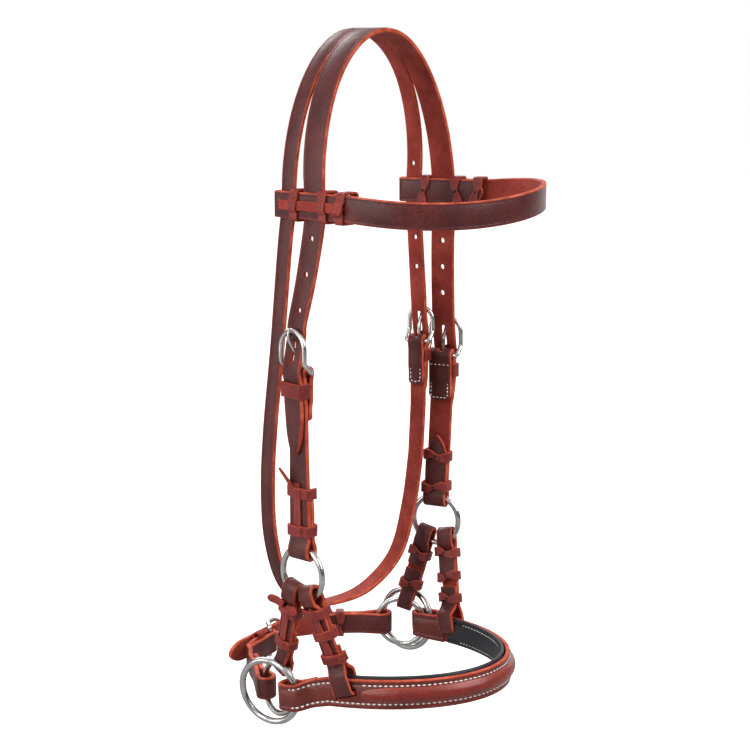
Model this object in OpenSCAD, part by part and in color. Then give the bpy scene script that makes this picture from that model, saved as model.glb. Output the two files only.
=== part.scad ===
// Bitless hackamore (sidepull bridle): split headpiece, laced browband,
// buckled cheekpieces, ring-hung raised noseband, chin strap and throatlatch.
// Frame: +Z up, -Y towards the horse's nose, +X the horse's left side.
// The origin is the underside of the headpiece, where it rests on the poll.

/* [Leather] */
// Width of the headpiece front branch and the cheekpieces
cheek_w = 19; // [17:0.5:20]
// Width of the rear branch and the throatlatch
throat_w = 12.7; // [11:0.1:13.5]
// Thickness of the strap leather
leather = 3.4; // [3:0.1:3.5]
// Thickness of the connecting strap leather
link_t = 2.8; // [2.5:0.1:2.8]
// Width of the connecting straps between the rings and the noseband
link_w = 15; // [13:0.5:15]
// Width of the browband
brow_w = 19; // [17:0.5:21]
// Height of the noseband leather
nose_h = 22; // [20:0.5:22]
// Thickness of the noseband padding
pad_t = 5; // [4:0.5:6]
// Width of the chin strap
chin_w = 17; // [15:0.5:18]
// Thickness of the lacing
lace_t = 1.8; // [1.4:0.1:1.8]

/* [Fit] */
// Half width of the headpiece at the browband
head_half_w = 85.5; // [84:0.5:87]
// Height of the headpiece arch above the browband
arch_h = 115; // [105:1:125]
// Depth of the browband in front of the cheekpieces
brow_depth = 86.5; // [75:0.5:95]
// Half width of the noseband
nose_half_w = 88.5; // [86:0.5:90]
// Reach of the noseband in front of its side ends
nose_reach = 129; // [120:1:132]

/* [Rings and buckles] */
// Outside diameter of the upper rings and the jaw rings
upper_ring_od = 44; // [43:0.5:45]
// Outside diameter of the rein rings
rein_ring_od = 54; // [52:0.5:54]
// Wire diameter of the upper rings and the jaw rings
upper_wire = 4.5; // [4:0.1:4.6]
// Wire diameter of the rein rings
rein_wire = 5; // [4.5:0.1:5]
// Wire diameter of the buckles
buckle_wire = 3.6; // [3.2:0.1:3.6]

/* [Holes] */
// Diameter of the punched strap holes
hole_d = 4.5; // [4:0.1:5]

/* [Hidden] */

$fn = 48;
t = leather;
gap = 0.3;
ply = t / 2 + 0.25;            // centre of each ply where two plies lie together
sewn_ply = t / 2 + 1.1;        // the same, where a keeper is sewn between them

// Where things sit: [right side, left side]
bar_z = [-239, -252];          // cheek buckle bars
bar_y = [-1, -8];
bar_x = 90;
toe = [15, 8];                 // how far each cheekpiece turns in towards the rear
ring_toe = 8;
hinge_y = 14.5;                // where the throatlatch bends at the browband
hinge_z = -126;

brow_top = -111;
brow_in = 3.5;                 // toe-in of the browband over its side length
upper_c = [91.5, -2.6, -389];  // upper ring centre on the left side
upper_r = (upper_ring_od - upper_wire) / 2;
rein_r = (rein_ring_od - rein_wire) / 2;
end_x = 87.5;                  // the noseband ends, folded round the front of both side rings
end_dz = [-7, 1.5];            // how far each end sits above the middle of the noseband
side_z = [-486.5, -478.3];     // height of the side rings' centres
jaw_front = [10.9, 4.9];       // where the two ring wires pass through the fold
rein_front = [5.8, -0.2];
wire_dx = 0.8;
jaw_toe = 20;                  // the chin strap draws the jaw rings in
jaw_tilt = 5;
rein_toe = -4;                 // the rein rings lean out, clear of the rear links
rein_tilt = -5;
jaw_x = end_x - wire_dx;
rein_x = end_x + wire_dx;
function jaw_c(s) = [jaw_x - sin(jaw_toe) * upper_r, jaw_front[s] + cos(jaw_toe) * upper_r, side_z[s]];
function rein_c(s) = [rein_x - sin(rein_toe) * rein_r, rein_front[s] + cos(rein_toe) * rein_r, side_z[s]];

throat_bar = [71, 3, -239];    // throatlatch buckle bar, left side
chin_bar = [-4, 96, -485.2];   // chin buckle bar
slot_y = [-34, -27];           // noseband slots for the front links
slot_z = -478.5;
nose_y = 12.5;
nose_top = -468;
nose_slope = -0.05;

// ---------- vector helpers ----------
function unit(v) = v / norm(v);
function sel(v, i) = is_list(v) ? v[i] : v;
function spline(a, b, c, d, s) =
    0.5 * (2 * b + (c - a) * s + (2 * a - 5 * b + 4 * c - d) * s * s + (3 * b - a - 3 * c + d) * s * s * s);
// Smooth curve through every control point
function smooth(P, n) = [
    for (i = [0 : len(P) - 2]) for (k = [0 : n - 1])
        spline(P[max(i - 1, 0)], P[i], P[i + 1], P[min(i + 2, len(P) - 1)], k / n),
    P[len(P) - 1]
];
function arc(c, r, a0, a1, n) = [
    for (i = [0 : n]) let (a = a0 + (a1 - a0) * i / n) [c[0] + r * cos(a), c[1] + r * sin(a)]
];
function reversed(P) = [for (i = [len(P) - 1 : -1 : 0]) P[i]];
// Mirror a path point [x, y, z, width direction] to the other side
function flip(P) = [for (p = P) [-p[0], p[1], p[2], -p[3], p[4], p[5]]];

// A strap is swept along points [x, y, z, wx, wy, wz]; w is its width direction.
// wide may be one width or one per point.
function along(P, i) = let (a = P[max(i - 1, 0)], b = P[min(i + 1, len(P) - 1)])
    unit([b[0] - a[0], b[1] - a[1], b[2] - a[2]]);
module ribbon(P, wide, thick) {
    n = len(P);
    pts = [
        for (i = [0 : n - 1])
            let (
                T = along(P, i), w0 = [P[i][3], P[i][4], P[i][5]],
                W = unit(w0 - (w0 * T) * T) * sel(wide, i) / 2,
                N = cross(T, unit(W)) * thick / 2, c = [P[i][0], P[i][1], P[i][2]]
            )
            each [c - W - N, c + W - N, c + W + N, c - W + N]
    ];
    sides = [
        for (i = [0 : n - 2]) for (k = [0 : 3])
            let (a = 4 * i + k, b = 4 * i + (k + 1) % 4) each [[a, b, b + 4], [a, b + 4, a + 4]]
    ];
    last = 4 * (n - 1);
    caps = [[2, 1, 0], [3, 2, 0], [last, last + 1, last + 2], [last, last + 2, last + 3]];
    polyhedron(pts, [for (f = concat(sides, caps)) [f[2], f[1], f[0]]]);
}
// Widths that round off the last 'tip' points of a strap
function rounded_end(n, w, tip) = [
    for (i = [0 : n - 1]) let (s = max(0, i - (n - 1 - tip)) / tip) w * max(0.18, sqrt(1 - s * s))
];

// A local frame on the left side: n outwards, w to the rear, z up, turned in by a
function place(B, a, n, w, z) =
    [B[0] + n * cos(a) - w * sin(a), B[1] + n * sin(a) + w * cos(a), B[2] + z];
function place_w(B, a, n, w, z) =
    let (p = place(B, a, n, w, z)) [p[0], p[1], p[2], -sin(a), cos(a), 0];
module to_frame(B, a) translate(B) rotate([0, 0, a]) children();
module side(s) { if (s == 0) mirror([1, 0, 0]) children(); else children(); }
// Local frame axes after to_frame: +X outwards (n), +Y to the rear (w), +Z up

// ---------- headpiece ----------
split_a = 33;
function spread(a) = pow(max(0, a - split_a) / (90 - split_a), 1.5);
// Arch of one branch, apex to browband level: y0 at the poll, dy spread, dx drawn in
function arch(y0, dy, dx) = [
    for (i = [0 : 9]) let (a = i * 10, s = spread(a))
        [(head_half_w - dx * s) * sin(a), y0 + dy * s, -arch_h + (arch_h + t / 2) * cos(a),
         -sin(ring_toe * s), cos(ring_toe * s), 0]
];
front_y0 = -6.4;
rear_y0 = front_y0 + cheek_w / 2 + throat_w / 2 + 0.2;
// The front branch below the browband runs through the buckle and down over the cheekpiece
strap_z = -132;
function front_y(s, z) = -11.3 + (bar_y[s] + 11.8) * (strap_z - z) / (strap_z - bar_z[s] - 36);
function front_low(s) =
    let (B = [bar_x, bar_y[s], bar_z[s]], a = toe[s], tip = [-60, -57][s]) [
        place_w([head_half_w + 0.3, front_y(s, strap_z), strap_z], ring_toe, 0, 0, 0),
        place_w([88, front_y(s, -172), -172], (ring_toe + a) / 2, 0, 0, 0),
        place_w(B, a, 2.3, 0, 36), place_w(B, a, 3.0, 0, 28), place_w(B, a, 5.3, 0, 14),
        place_w(B, a, 8.1, 0, 1), place_w(B, a, sewn_ply + t + 0.3, 0, -8),
        place_w(B, a, sewn_ply + t + 0.3, 0, -20),
        for (z = [-32, tip]) cheek_pt(s, ply + t + 0.5, bar_z[s] + z)
    ];
function front_path(s) = smooth(concat(arch(front_y0, -4.9, 0), front_low(s)), 3);
function rear_path() = concat(
    smooth(arch(rear_y0, 14 - rear_y0, 3.5), 3), [place_w([82, 14.4, -119.5], ring_toe, 0, 0, 0)]
);
function both_ways(R, L) = concat(reversed(flip(R)), [for (i = [1 : len(L) - 1]) L[i]]);
function tip_both(nr, nl, w, tip) = [
    for (i = [0 : nr + nl - 2])
        let (e = min(i, nr + nl - 2 - i), s = max(0, tip - e) / tip) w * max(0.18, sqrt(1 - s * s))
];

hole_up = 15.2;                // where a tongue passes through its strap, above the bar
hole_long = 10;
// Punched holes, as [side, height] in the front branch
front_holes = [[0, -143.5], [0, -169], [0, -194.5], [1, -160], [1, -181], [1, -202]];
module headpiece() color([0.33, 0.13, 0.11]) difference() {
    union() {
        R = front_path(0);
        L = front_path(1);
        ribbon(both_ways(R, L), tip_both(len(R), len(L), cheek_w, 5), t);
        ribbon(both_ways(rear_path(), rear_path()), throat_w, t);
        // Solid middle between the two splits
        M = [for (i = [-3 : 3]) let (a = 11 * i)
            [head_half_w * sin(a), rear_y0 - throat_w / 2, -arch_h + (arch_h + t / 2) * cos(a), 0, 1, 0]];
        ribbon(M, 5, t - 0.5);
    }
    for (h = front_holes) side(h[0])
        translate([70, front_y(h[0], h[1]), h[1]]) rotate([0, 90, 0])
            cylinder(h = 40, d = hole_d, $fn = 24);
    // Hole that the cheek buckle tongue passes through, drawn long by the tongue
    for (s = [0, 1]) side(s) to_frame([bar_x, bar_y[s], bar_z[s]], toe[s])
        translate([0, 0, hole_up]) rotate([0, 90, 0]) long_hole(hole_d, hole_long);
    side(1) translate([60, 14.2, -100]) rotate([0, 90, 0]) cylinder(h = 40, d = hole_d - 0.5, $fn = 24);
}
// A hole of diameter d drawn out to d + l along X, through along Z
module long_hole(d, l) {
    translate([-l / 2, -d / 2, -15]) cube([l, d, 30]);
    for (e = [-1, 1]) translate([e * l / 2, 0, -15]) cylinder(h = 30, d = d, $fn = 24);
}

// ---------- browband ----------
brow_gap = t / 2 + 0.45;       // half of the space between the two plies of a browband end
brow_ply = brow_gap + t / 2;
brow_rear = 22;
brow_front = -46.5;
brow_z = brow_top - brow_w / 2;
function up_w(x, y) = [x, y, brow_z, 0, 0, 1];
// Middle line between the two plies at a given y
function brow_mid(y) = head_half_w - brow_in * (y + 11.3) / 25.3;
function brow_side() = concat(
    [up_w(brow_mid(-46) - brow_ply, -46), up_w(brow_mid(-20) - brow_ply, -20),
     up_w(brow_mid(16) - brow_ply, 16)],
    [for (p = arc([brow_mid(20.6), 20.6], brow_ply, -170, -360 - 10, 8)) up_w(p[0], p[1])],
    [up_w(brow_mid(16) + brow_ply, 16), up_w(brow_mid(-20) + brow_ply, -20)]
);
brow_roll = 4;                 // how much the loop rises on its left and falls on its right
function brow_loop(n) = let (a0 = brow_mid(brow_front) + brow_ply) [
    for (i = [0 : 2 * n]) let (a = 90 - 90 * i / n)
        [a0 * sin(a), brow_front - brow_depth * cos(a), brow_z + brow_roll * sin(2 * a), 0, 0, 1]
];
module browband() color([0.33, 0.13, 0.11])
    ribbon(concat(brow_side(), brow_loop(14), reversed(flip(brow_side()))), brow_w, t);
// Flat band round a pair of plies: outside of the plies is 2a by 2b, band height h
module band(a, b, h) translate([0, 0, -h / 2]) linear_extrude(h) difference() {
    square([2 * (a + lace_t), 2 * (b + lace_t)], center = true);
    square([2 * a, 2 * b], center = true);
}
module browband_lace(s) color([0.45, 0.16, 0.13]) side(s) {
    a = brow_ply + t / 2 + 0.2;
    for (y = [3, -24.5, -41]) translate([brow_mid(y), y, brow_z]) rotate([0, 0, ring_toe])
        rotate([90, 0, 0]) band(a, brow_w / 2 + 0.3, 7);
    // Lace running lengthwise under the bands
    translate([brow_mid(-14) + a, -14, brow_z]) rotate([0, 0, ring_toe])
        translate([0, -32, -3.5]) cube([lace_t, 62, 7]);
}

// ---------- cheekpieces ----------
bar_fold = buckle_wire / 2 + gap + t / 2;
ring_sag = upper_r - sqrt(upper_r * upper_r - cheek_w * cheek_w / 4);
ring_fold = upper_wire / 2 + 0.4 + t / 2;
cheek_low = upper_c[2] + upper_r - ring_sag - 0.4;
tab_len = 37;
// Cheek centre line: y and toe as a function of height
function cheek_y(s, z) = bar_y[s] + (upper_c[1] - bar_y[s]) * min(1, max(0, (bar_z[s] - 20 - z) / 95));
function cheek_x(z) = bar_x + (upper_c[0] - bar_x) * min(1, max(0, (-260 - z) / 100));
function cheek_toe(s, z) = toe[s] + (ring_toe - toe[s]) * min(1, max(0, (bar_z[s] - 45 - z) / 60));
function cheek_pt(s, n, z) = place_w([cheek_x(z), cheek_y(s, z), 0], cheek_toe(s, z), n, 0, z);
lace_z = [[-327, -355.5], [-335, -361]];
// The plies part towards the ring, and a band there is larger
function flare(z) = max(0, cheek_low + 16 - z) * 0.3;
function cheek_path(s) = let (b = bar_z[s]) concat(
    smooth([for (p = [[-ply, b - tab_len], [-ply, b - 26], [-sewn_ply, b - 19], [-sewn_ply, b - 7]])
        cheek_pt(s, p[0], p[1])], 3),
    [for (p = arc([0, b], bar_fold, 190, -10, 12)) cheek_pt(s, p[0], p[1])],
    smooth([for (p = [[sewn_ply, b - 7], [sewn_ply, b - 19], [ply, b - 28], [ply, b - 60], [ply, -320],
        [ply, -345], [ply, cheek_low + 12], [ring_fold, cheek_low + 3.5]]) cheek_pt(s, p[0], p[1])], 3),
    [for (p = arc([0, cheek_low], ring_fold, 10, -190, 12)) cheek_pt(s, p[0], p[1])],
    smooth([for (p = [[-ring_fold, cheek_low + 3.5], [-ply, cheek_low + 12], [-ply, -345], [-ply, -333],
        [-ply, -319]]) cheek_pt(s, p[0], p[1])], 3)
);
module cheekpiece(s) color([0.33, 0.13, 0.11]) side(s) difference() {
    P = cheek_path(s);
    ribbon(P, rounded_end(len(P), cheek_w, 4), t);
    // Slot in the fold for the buckle tongue
    to_frame([bar_x, bar_y[s], bar_z[s]], toe[s]) tongue_slot();
}
module tongue_slot() translate([-4.5, -2.3, -4.2]) cube([15, 4.6, 16]);
module cheek_lace(s) color([0.45, 0.16, 0.13]) side(s) {
    a = ply + t / 2 + 0.2;
    for (z = lace_z[s]) to_frame([cheek_x(z), cheek_y(s, z), z], cheek_toe(s, z))
        band(a + flare(z), cheek_w / 2 + 0.3, 8);
    z0 = lace_z[s][0];
    z1 = lace_z[s][1];
    ribbon([for (i = [0 : 8]) let (z = z0 + 11 + (z1 - z0 - 13) * i / 8)
        cheek_pt(s, a + flare(z) + lace_t / 2, z)], 6.4, lace_t);
}
// Sewn-in keeper: outer run over the billet, inner run between the plies
module sewn_keeper(w, top, h, n_out) {
    lo = 0.3 - sewn_ply + t / 2;
    translate([0, 0, top - h]) linear_extrude(h) difference() {
        translate([lo, -w / 2 - 2]) square([n_out + 1.8 - lo, w + 4]);
        translate([lo + 1.1, -w / 2 - 0.4]) square([n_out - lo - 1.1, w + 0.8]);
    }
}
module cheek_keeper(s) color([0.40, 0.15, 0.12]) side(s)
    to_frame([bar_x, bar_y[s], bar_z[s]], toe[s])
        sewn_keeper(cheek_w, -7.2, 11, sewn_ply + t * 1.5 + 0.6);

// ---------- buckles ----------
// Bar along w at the origin; the frame rises and steps out to n = step_out
module buckle_frame(leg, out, rise) {
    r = buckle_wire / 2;
    rotate([90, 0, 0]) cylinder(h = 2 * leg, r = r, center = true);
    for (e = [-1, 1]) translate([0, e * leg, 0]) {
        sphere(r = r);
        translate([out, 0, 7]) sphere(r = r);
        rotate([0, atan2(out, 7), 0]) cylinder(h = norm([out, 7]), r = r);
        translate([out, 0, 7]) cylinder(h = rise - leg - 7, r = r);
    }
    translate([out, 0, rise - leg]) rotate([90, 0, 90])
        rotate_extrude(angle = 180) translate([leg, 0]) circle(r = r);
}
// Tongue: loop round the bar, then up through the strap to rest on the arch
module buckle_tongue(out, rise) {
    r = buckle_wire / 2;
    rotate([90, 0, 0]) translate([0, 0, -1.7]) linear_extrude(3.4) difference() {
        circle(r = r + 1.6);
        circle(r = r + 0.05);
    }
    reach = out + r + 1.5;
    ribbon([for (p = smooth([[2.9, 0.6], [3.0, 6], [3.6, 12], [6.0, 17], [8.6, 21.5],
        [reach + 0.4, rise - 5], [reach + 0.2, rise + 1.2]], 3)) [p[0], 0, p[1], 0, 1, 0]], 2.6, 2.2);
}
cheek_leg = 13.4;
cheek_rise = 30.4;
cheek_out = 7;
module cheek_buckle(s) color([0.75, 0.75, 0.76]) side(s)
    to_frame([bar_x, bar_y[s], bar_z[s]], toe[s]) buckle_frame(cheek_leg, cheek_out, cheek_rise);
module cheek_tongue(s) color([0.75, 0.75, 0.76]) side(s)
    to_frame([bar_x, bar_y[s], bar_z[s]], toe[s]) buckle_tongue(cheek_out, cheek_rise);

// ---------- rings ----------
module ring(c, r, wire, a, tilt) translate(c) rotate([0, 0, a]) rotate([0, 90 - tilt, 0])
    rotate_extrude() translate([r, 0]) circle(d = wire, $fn = 32);
module upper_ring(s) color([0.72, 0.73, 0.75]) side(s)
    ring(upper_c, upper_r, upper_wire, ring_toe, 0);
module jaw_ring(s) color([0.72, 0.73, 0.75]) side(s)
    ring(jaw_c(s), upper_r, upper_wire, jaw_toe, jaw_tilt);
module rein_ring(s) color([0.72, 0.73, 0.75]) side(s)
    ring(rein_c(s), rein_r, rein_wire, rein_toe, rein_tilt);

// ---------- links from the upper rings ----------
// Front links run down into slots in the noseband, rear links to the jaw rings
function link_top(s, front) = let (f = front ? -30 : 30)
    [upper_c[0] - sin(ring_toe) * upper_r * sin(f), upper_c[1] + upper_r * sin(f),
     upper_c[2] - upper_r * cos(f)];
nose_mid_w = nose_half_w - t / 2;
nose_mid_r = nose_reach - t / 2;
function nose_at(y) = nose_mid_w * sqrt(1 - pow((y - nose_y) / nose_mid_r, 2));
// Direction that the noseband faces at a given y
function nose_turn(y) = atan2((y - nose_y) / pow(nose_mid_r, 2), nose_at(y) / pow(nose_mid_w, 2));
stack_in = (pad_t + 0.1) / 2;  // middle of leather and padding together, inside the leather's middle
ring_off = 4.5;                // how far in front of the ring top a rear link sits
ring_up = sqrt(upper_r * upper_r - ring_off * ring_off);
function link_end(s, front) = front
    ? let (y = slot_y[s], a = nose_turn(y)) [nose_at(y) - stack_in * cos(a), y - stack_in * sin(a), slot_z]
    : place(jaw_c(s), jaw_toe, -ring_up * sin(jaw_tilt), -ring_off, ring_up * cos(jaw_tilt));
function link_len(s, front) = norm(link_end(s, front) - link_top(s, front));
// Axes of a link at distance d down it: [outwards, to the rear, down, centre]
function link_axes(s, front, d) =
    let (A = link_top(s, front), E = link_end(s, front), u = unit(E - A),
        f = min(1, max(0, d / link_len(s, front))),
        a = ring_toe + ((front ? nose_turn(slot_y[s]) : jaw_toe) - ring_toe) * f,
        w0 = [-sin(a), cos(a), 0], w = unit(w0 - (w0 * u) * u))
    [cross(w, -u), w, u, A + d * u];
function link_pt(s, front, n, d) =
    let (F = link_axes(s, front, d)) concat(F[3] + n * F[0], F[1]);
module link_frame(s, front, d) {
    F = link_axes(s, front, d);
    multmatrix([for (k = [0 : 2]) [F[0][k], F[1][k], -F[2][k], F[3][k]]]) children();
}
link_rise = 4.9;
link_fold = upper_wire / 2 + 1.4 + link_t / 2;
foot_fold = upper_wire / 2 + 0.6 + link_t / 2;
foot_drop = 1.9;
nose_fold = (t + pad_t) / 2 + 1.5 + link_t / 2;
nose_drop = 4.2;
link_ply = link_t / 2 + 0.35;
// How far the top of the noseband stack lies outside the line of a front link, per mm of height
function link_k(s, front) = front
    ? let (a = nose_turn(slot_y[s]), D = link_top(s, true) - link_end(s, true))
        (D[0] * cos(a) + D[1] * sin(a)) / norm(D)
    : 0;
function link_path(s, front) =
    let (L = link_len(s, front), f = front ? nose_fold : foot_fold,
        e = front ? L - nose_drop : L + foot_drop, drop = front ? nose_drop : foot_fold,
        meet = front ? 24 : 12, wide = front ? 11.3 : 3 + foot_drop,
        k = link_k(s, front) * (L - e + wide)) concat(
    smooth([[-link_ply, L * 0.42], [-link_ply, L * 0.36], [-link_ply, 11], [-link_fold - 0.1, 2.5]], 3),
    [for (p = arc([0, -link_rise], link_fold, -180, 0, 10)) p],
    smooth([[link_fold + 0.1, 2.5], [link_ply, 11], [link_ply, L * 0.5], [link_ply, L - meet],
        [f - k, e - wide]], 3),
    [for (i = [0 : 10]) [f * cos(18 * i), e + drop * sin(18 * i)]],
    smooth([[-f - k, e - wide], [-link_ply, L - meet], [-link_ply, L * 0.5]], 3)
);
top_pinch = 2;                 // how much narrower a link is where it folds over the upper ring
foot_w = 12;                   // a rear link is drawn narrower where it holds the jaw ring
function link_width(s, front, d) = link_w - top_pinch * min(1, max(0, (9 - d) / 8))
    - (front ? 0 : link_w - foot_w) * min(1, max(0, (d - link_len(s, front) + 16) / 8));
module link_strap(s, front) color([0.33, 0.13, 0.11]) side(s) {
    P = link_path(s, front);
    ribbon([for (p = P) link_pt(s, front, p[0], p[1])], [for (p = P) link_width(s, front, p[1])], link_t);
}
// Bands at the given distances down a link, with a lace strip under them
function link_flare(d) = max(0, 12 - d) * 0.3;
module link_lace(s, front, at) color([0.45, 0.16, 0.13]) side(s) {
    a = link_ply + link_t / 2 + 0.25;
    last = at[len(at) - 1];
    for (d = at) link_frame(s, front, d) band(a + link_flare(d - 3.5), link_w / 2 + 0.3, 7);
    ribbon([for (i = [0 : 8]) let (d = at[0] - 3.4 + (last - at[0] + 6.8) * i / 8)
        link_pt(s, front, a + link_flare(d) + lace_t / 2, d)], 6, lace_t);
}

// ---------- noseband ----------
nose_z = nose_top - nose_h / 2;
function end_ramp(y) = let (r = min(1, max(0, (y + 20) / 30))) r * r * (3 - 2 * r);
function flat_nose(s, x, y) = [x, y, nose_z + nose_slope * y + end_dz[s] * end_ramp(y), 0, -nose_slope, 1];
// Curve of the noseband at distance n outside its leather's middle line
function nose_pt(n, a, dz) = let (
        N = unit([nose_mid_r * cos(a), -nose_mid_w * sin(a)]),
        x = nose_mid_w * cos(a) + n * N[0], y = nose_y - nose_mid_r * sin(a) + n * N[1])
    [x, y, nose_z + nose_slope * y + dz, 0, -nose_slope, 1];
// Each end folds round the front of the jaw ring and the rein ring
fold_x = end_x - 0.2;
end_fold = rein_wire / 2 + wire_dx + 1.9 + t / 2;
end_drop = 4.7;
function nose_end(s) = let (y = jaw_front[s]) concat(
    smooth([flat_nose(s, nose_at(y - 22) - 1.9, y - 22), flat_nose(s, fold_x - end_fold + 0.1, y - 9),
        flat_nose(s, fold_x - end_fold, y - 3)], 3),
    [for (i = [0 : 10]) flat_nose(s, fold_x - end_fold * cos(18 * i), y + 4 + end_drop * sin(18 * i))],
    smooth([flat_nose(s, fold_x + end_fold, y - 3), flat_nose(s, fold_x + end_fold - 0.3, y - 9),
        flat_nose(s, nose_at(y - 18) + 1.7, y - 18), nose_pt(0, [14.5, 13.5][s], 0)], 3)
);
nose_angles = [for (i = [-18 : 18]) 90 + 73.5 * i / 18];
module noseband() color([0.42, 0.15, 0.12]) difference() {
    P = concat(nose_end(1), [for (a = nose_angles) nose_pt(0, a, 0)], reversed(flip(nose_end(0))));
    ribbon(P, [for (p = P) nose_h - 2 * end_ramp(p[1])], t);
    nose_slots();
}
// Slots that the front links pass through, longer than a link is wide by twice the spare
slot_spare = 1.5;
module nose_slots() for (s = [0, 1]) side(s) link_frame(s, true, link_len(s, true))
    translate([-15, -link_w / 2 - slot_spare, -4]) cube([30, link_w + 2 * slot_spare, 8]);
roll_h = 12;
roll_t = 3.5;
roll_span = 50;                // how far round the front the roll reaches, each way
module noseband_roll() color([0.48, 0.17, 0.12])
    ribbon([for (a = nose_angles) if (abs(a - 90) < roll_span) nose_pt(t / 2 + roll_t / 2 + 0.15, a, 0)],
        roll_h, roll_t);
module noseband_padding() color([0.06, 0.06, 0.07]) difference() {
    ribbon([for (a = nose_angles) nose_pt(-t / 2 - pad_t / 2 - 0.15, a, 1.5)], nose_h, pad_t);
    nose_slots();
}

// ---------- chin strap ----------
chin_lean = 5 / 75;            // the left end of the chin strap sits higher
function flat_chin(x, y) = [x, y, chin_bar[2] + chin_lean * (x - chin_bar[0]), 0, 0, 1];
// Loop round the rear of a jaw ring: closed end towards the front
function loop_c(s) = [jaw_x - 2 * sin(jaw_toe) * upper_r, jaw_front[s] + 2 * cos(jaw_toe) * upper_r];
loop_a = -56;                  // direction in which the closed end points
loop_r = 6;
function loop_pt(s, v, q) =
    loop_c(s) + [v * cos(loop_a) - q * sin(loop_a), v * sin(loop_a) + q * cos(loop_a)];
function ring_loop(s) = [for (p = arc([3.8, 0], loop_r, -95, 95, 12)) loop_pt(s, p[0], p[1])];
// Middle line between the two plies, from the loop towards the chin
function chin_line(s) = smooth([loop_pt(s, -14, 0), [56, 69], [47, 79.5], [37, 87.5]], 3);
function shift(P, n) = [
    for (i = [0 : len(P) - 1]) let (a = P[max(i - 1, 0)], b = P[min(i + 1, len(P) - 1)], T = unit(b - a))
        P[i] + n * [T[1], -T[0]]
];
// Turned-back ply, loop, and main ply up to the end of the middle line
function chin_side(s, n) = let (M = chin_line(s)) concat(
    reversed([for (i = [0 : n]) shift(M, -ply)[i]]), ring_loop(s), shift(M, ply)
);
// Local frame at the chin buckle: bar upright, the buckle strap running towards +u
chin_a = 174;
function chin_pt(n, u) = flat_chin(
    chin_bar[0] + u * cos(chin_a) - n * sin(chin_a), chin_bar[1] - u * sin(chin_a) - n * cos(chin_a));
// The buckle modules have their bar along local Y and rise along local Z
module chin_frame() translate(chin_bar)
    multmatrix([[-sin(chin_a), 0, -cos(chin_a), 0], [-cos(chin_a), 0, sin(chin_a), 0],
                [0, -1, 0, 0], [0, 0, 0, 1]]) children();
// Long strap: from the left jaw ring, through the buckle, to its hanging tip
function long_path() = concat(
    [for (p = chin_side(1, 7)) flat_chin(p[0], p[1])],
    smooth([chin_pt(2.5, -29), chin_pt(2.8, -25), chin_pt(5.3, -14), chin_pt(8.1, 0), chin_pt(9.5, 11),
        chin_pt(11, 20), chin_pt(12.5, 29), chin_pt(14, 38)], 3)
);
module chin_long_strap() color([0.42, 0.15, 0.12]) difference() {
    P = long_path();
    ribbon(P, rounded_end(len(P), chin_w, 5), t);
    chin_frame() translate([0, 0, hole_up]) rotate([0, 90, 0]) long_hole(hole_d, hole_long);
}
module chin_buckle_strap() color([0.42, 0.15, 0.12]) difference() {
    P = concat(
        [for (p = chin_side(0, 6)) flat_chin(-p[0], p[1])],
        smooth([chin_pt(ply, 30), chin_pt(ply, 26), chin_pt(sewn_ply, 18), chin_pt(sewn_ply, 7)], 3),
        [for (p = arc([0, 0], bar_fold, -10, 190, 12)) chin_pt(p[0], -p[1])],
        smooth([chin_pt(-sewn_ply, 7), chin_pt(-sewn_ply, 17), chin_pt(-ply, 24), chin_pt(-ply, 32)], 3)
    );
    ribbon(P, chin_w, t);
    chin_frame() tongue_slot();
}
chin_leg = chin_w / 2 + 3.9;
chin_rise = 28;
module chin_buckle() color([0.75, 0.75, 0.76]) chin_frame() buckle_frame(chin_leg, cheek_out, chin_rise);
module chin_tongue() color([0.75, 0.75, 0.76]) chin_frame() buckle_tongue(cheek_out, chin_rise);
module chin_fixed_keeper() color([0.62, 0.25, 0.13]) chin_frame()
    sewn_keeper(chin_w + 1.8, -7.2, 9, sewn_ply + t / 2 + 0.25);
slide_i = 3;                   // point of the middle line that the sliding keeper sits on
module chin_sliding_keeper() color([0.45, 0.16, 0.13]) {
    M = chin_line(1);
    T = M[slide_i + 1] - M[slide_i - 1];
    at = flat_chin(M[slide_i][0], M[slide_i][1]);
    translate([at[0], at[1], at[2]]) rotate([0, 0, atan2(T[1], T[0]) - 90])
        rotate([90, 0, 0]) band(ply + t / 2 + 1.0, chin_w / 2 + 0.6, 7);
}

// ---------- throatlatch ----------
throat_toe = 8;
function throat_l(n, z) = place_w(throat_bar, throat_toe, n, 0, z);
function thr(x, y, z, wx, wy) = [x, y, z, wx, wy, 0];
// Heights and widths of a round end that can turn in the browband loop
top_up = [for (k = [0.97, 0.85, 0.6, 0.3]) k * throat_w / 2];
function top_pts(x, wx) = [for (d = top_up) thr(x, hinge_y, hinge_z + d, wx, 1)];
top_w = [for (d = top_up) 2 * sqrt(throat_w * throat_w / 4 - d * d)];
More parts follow.
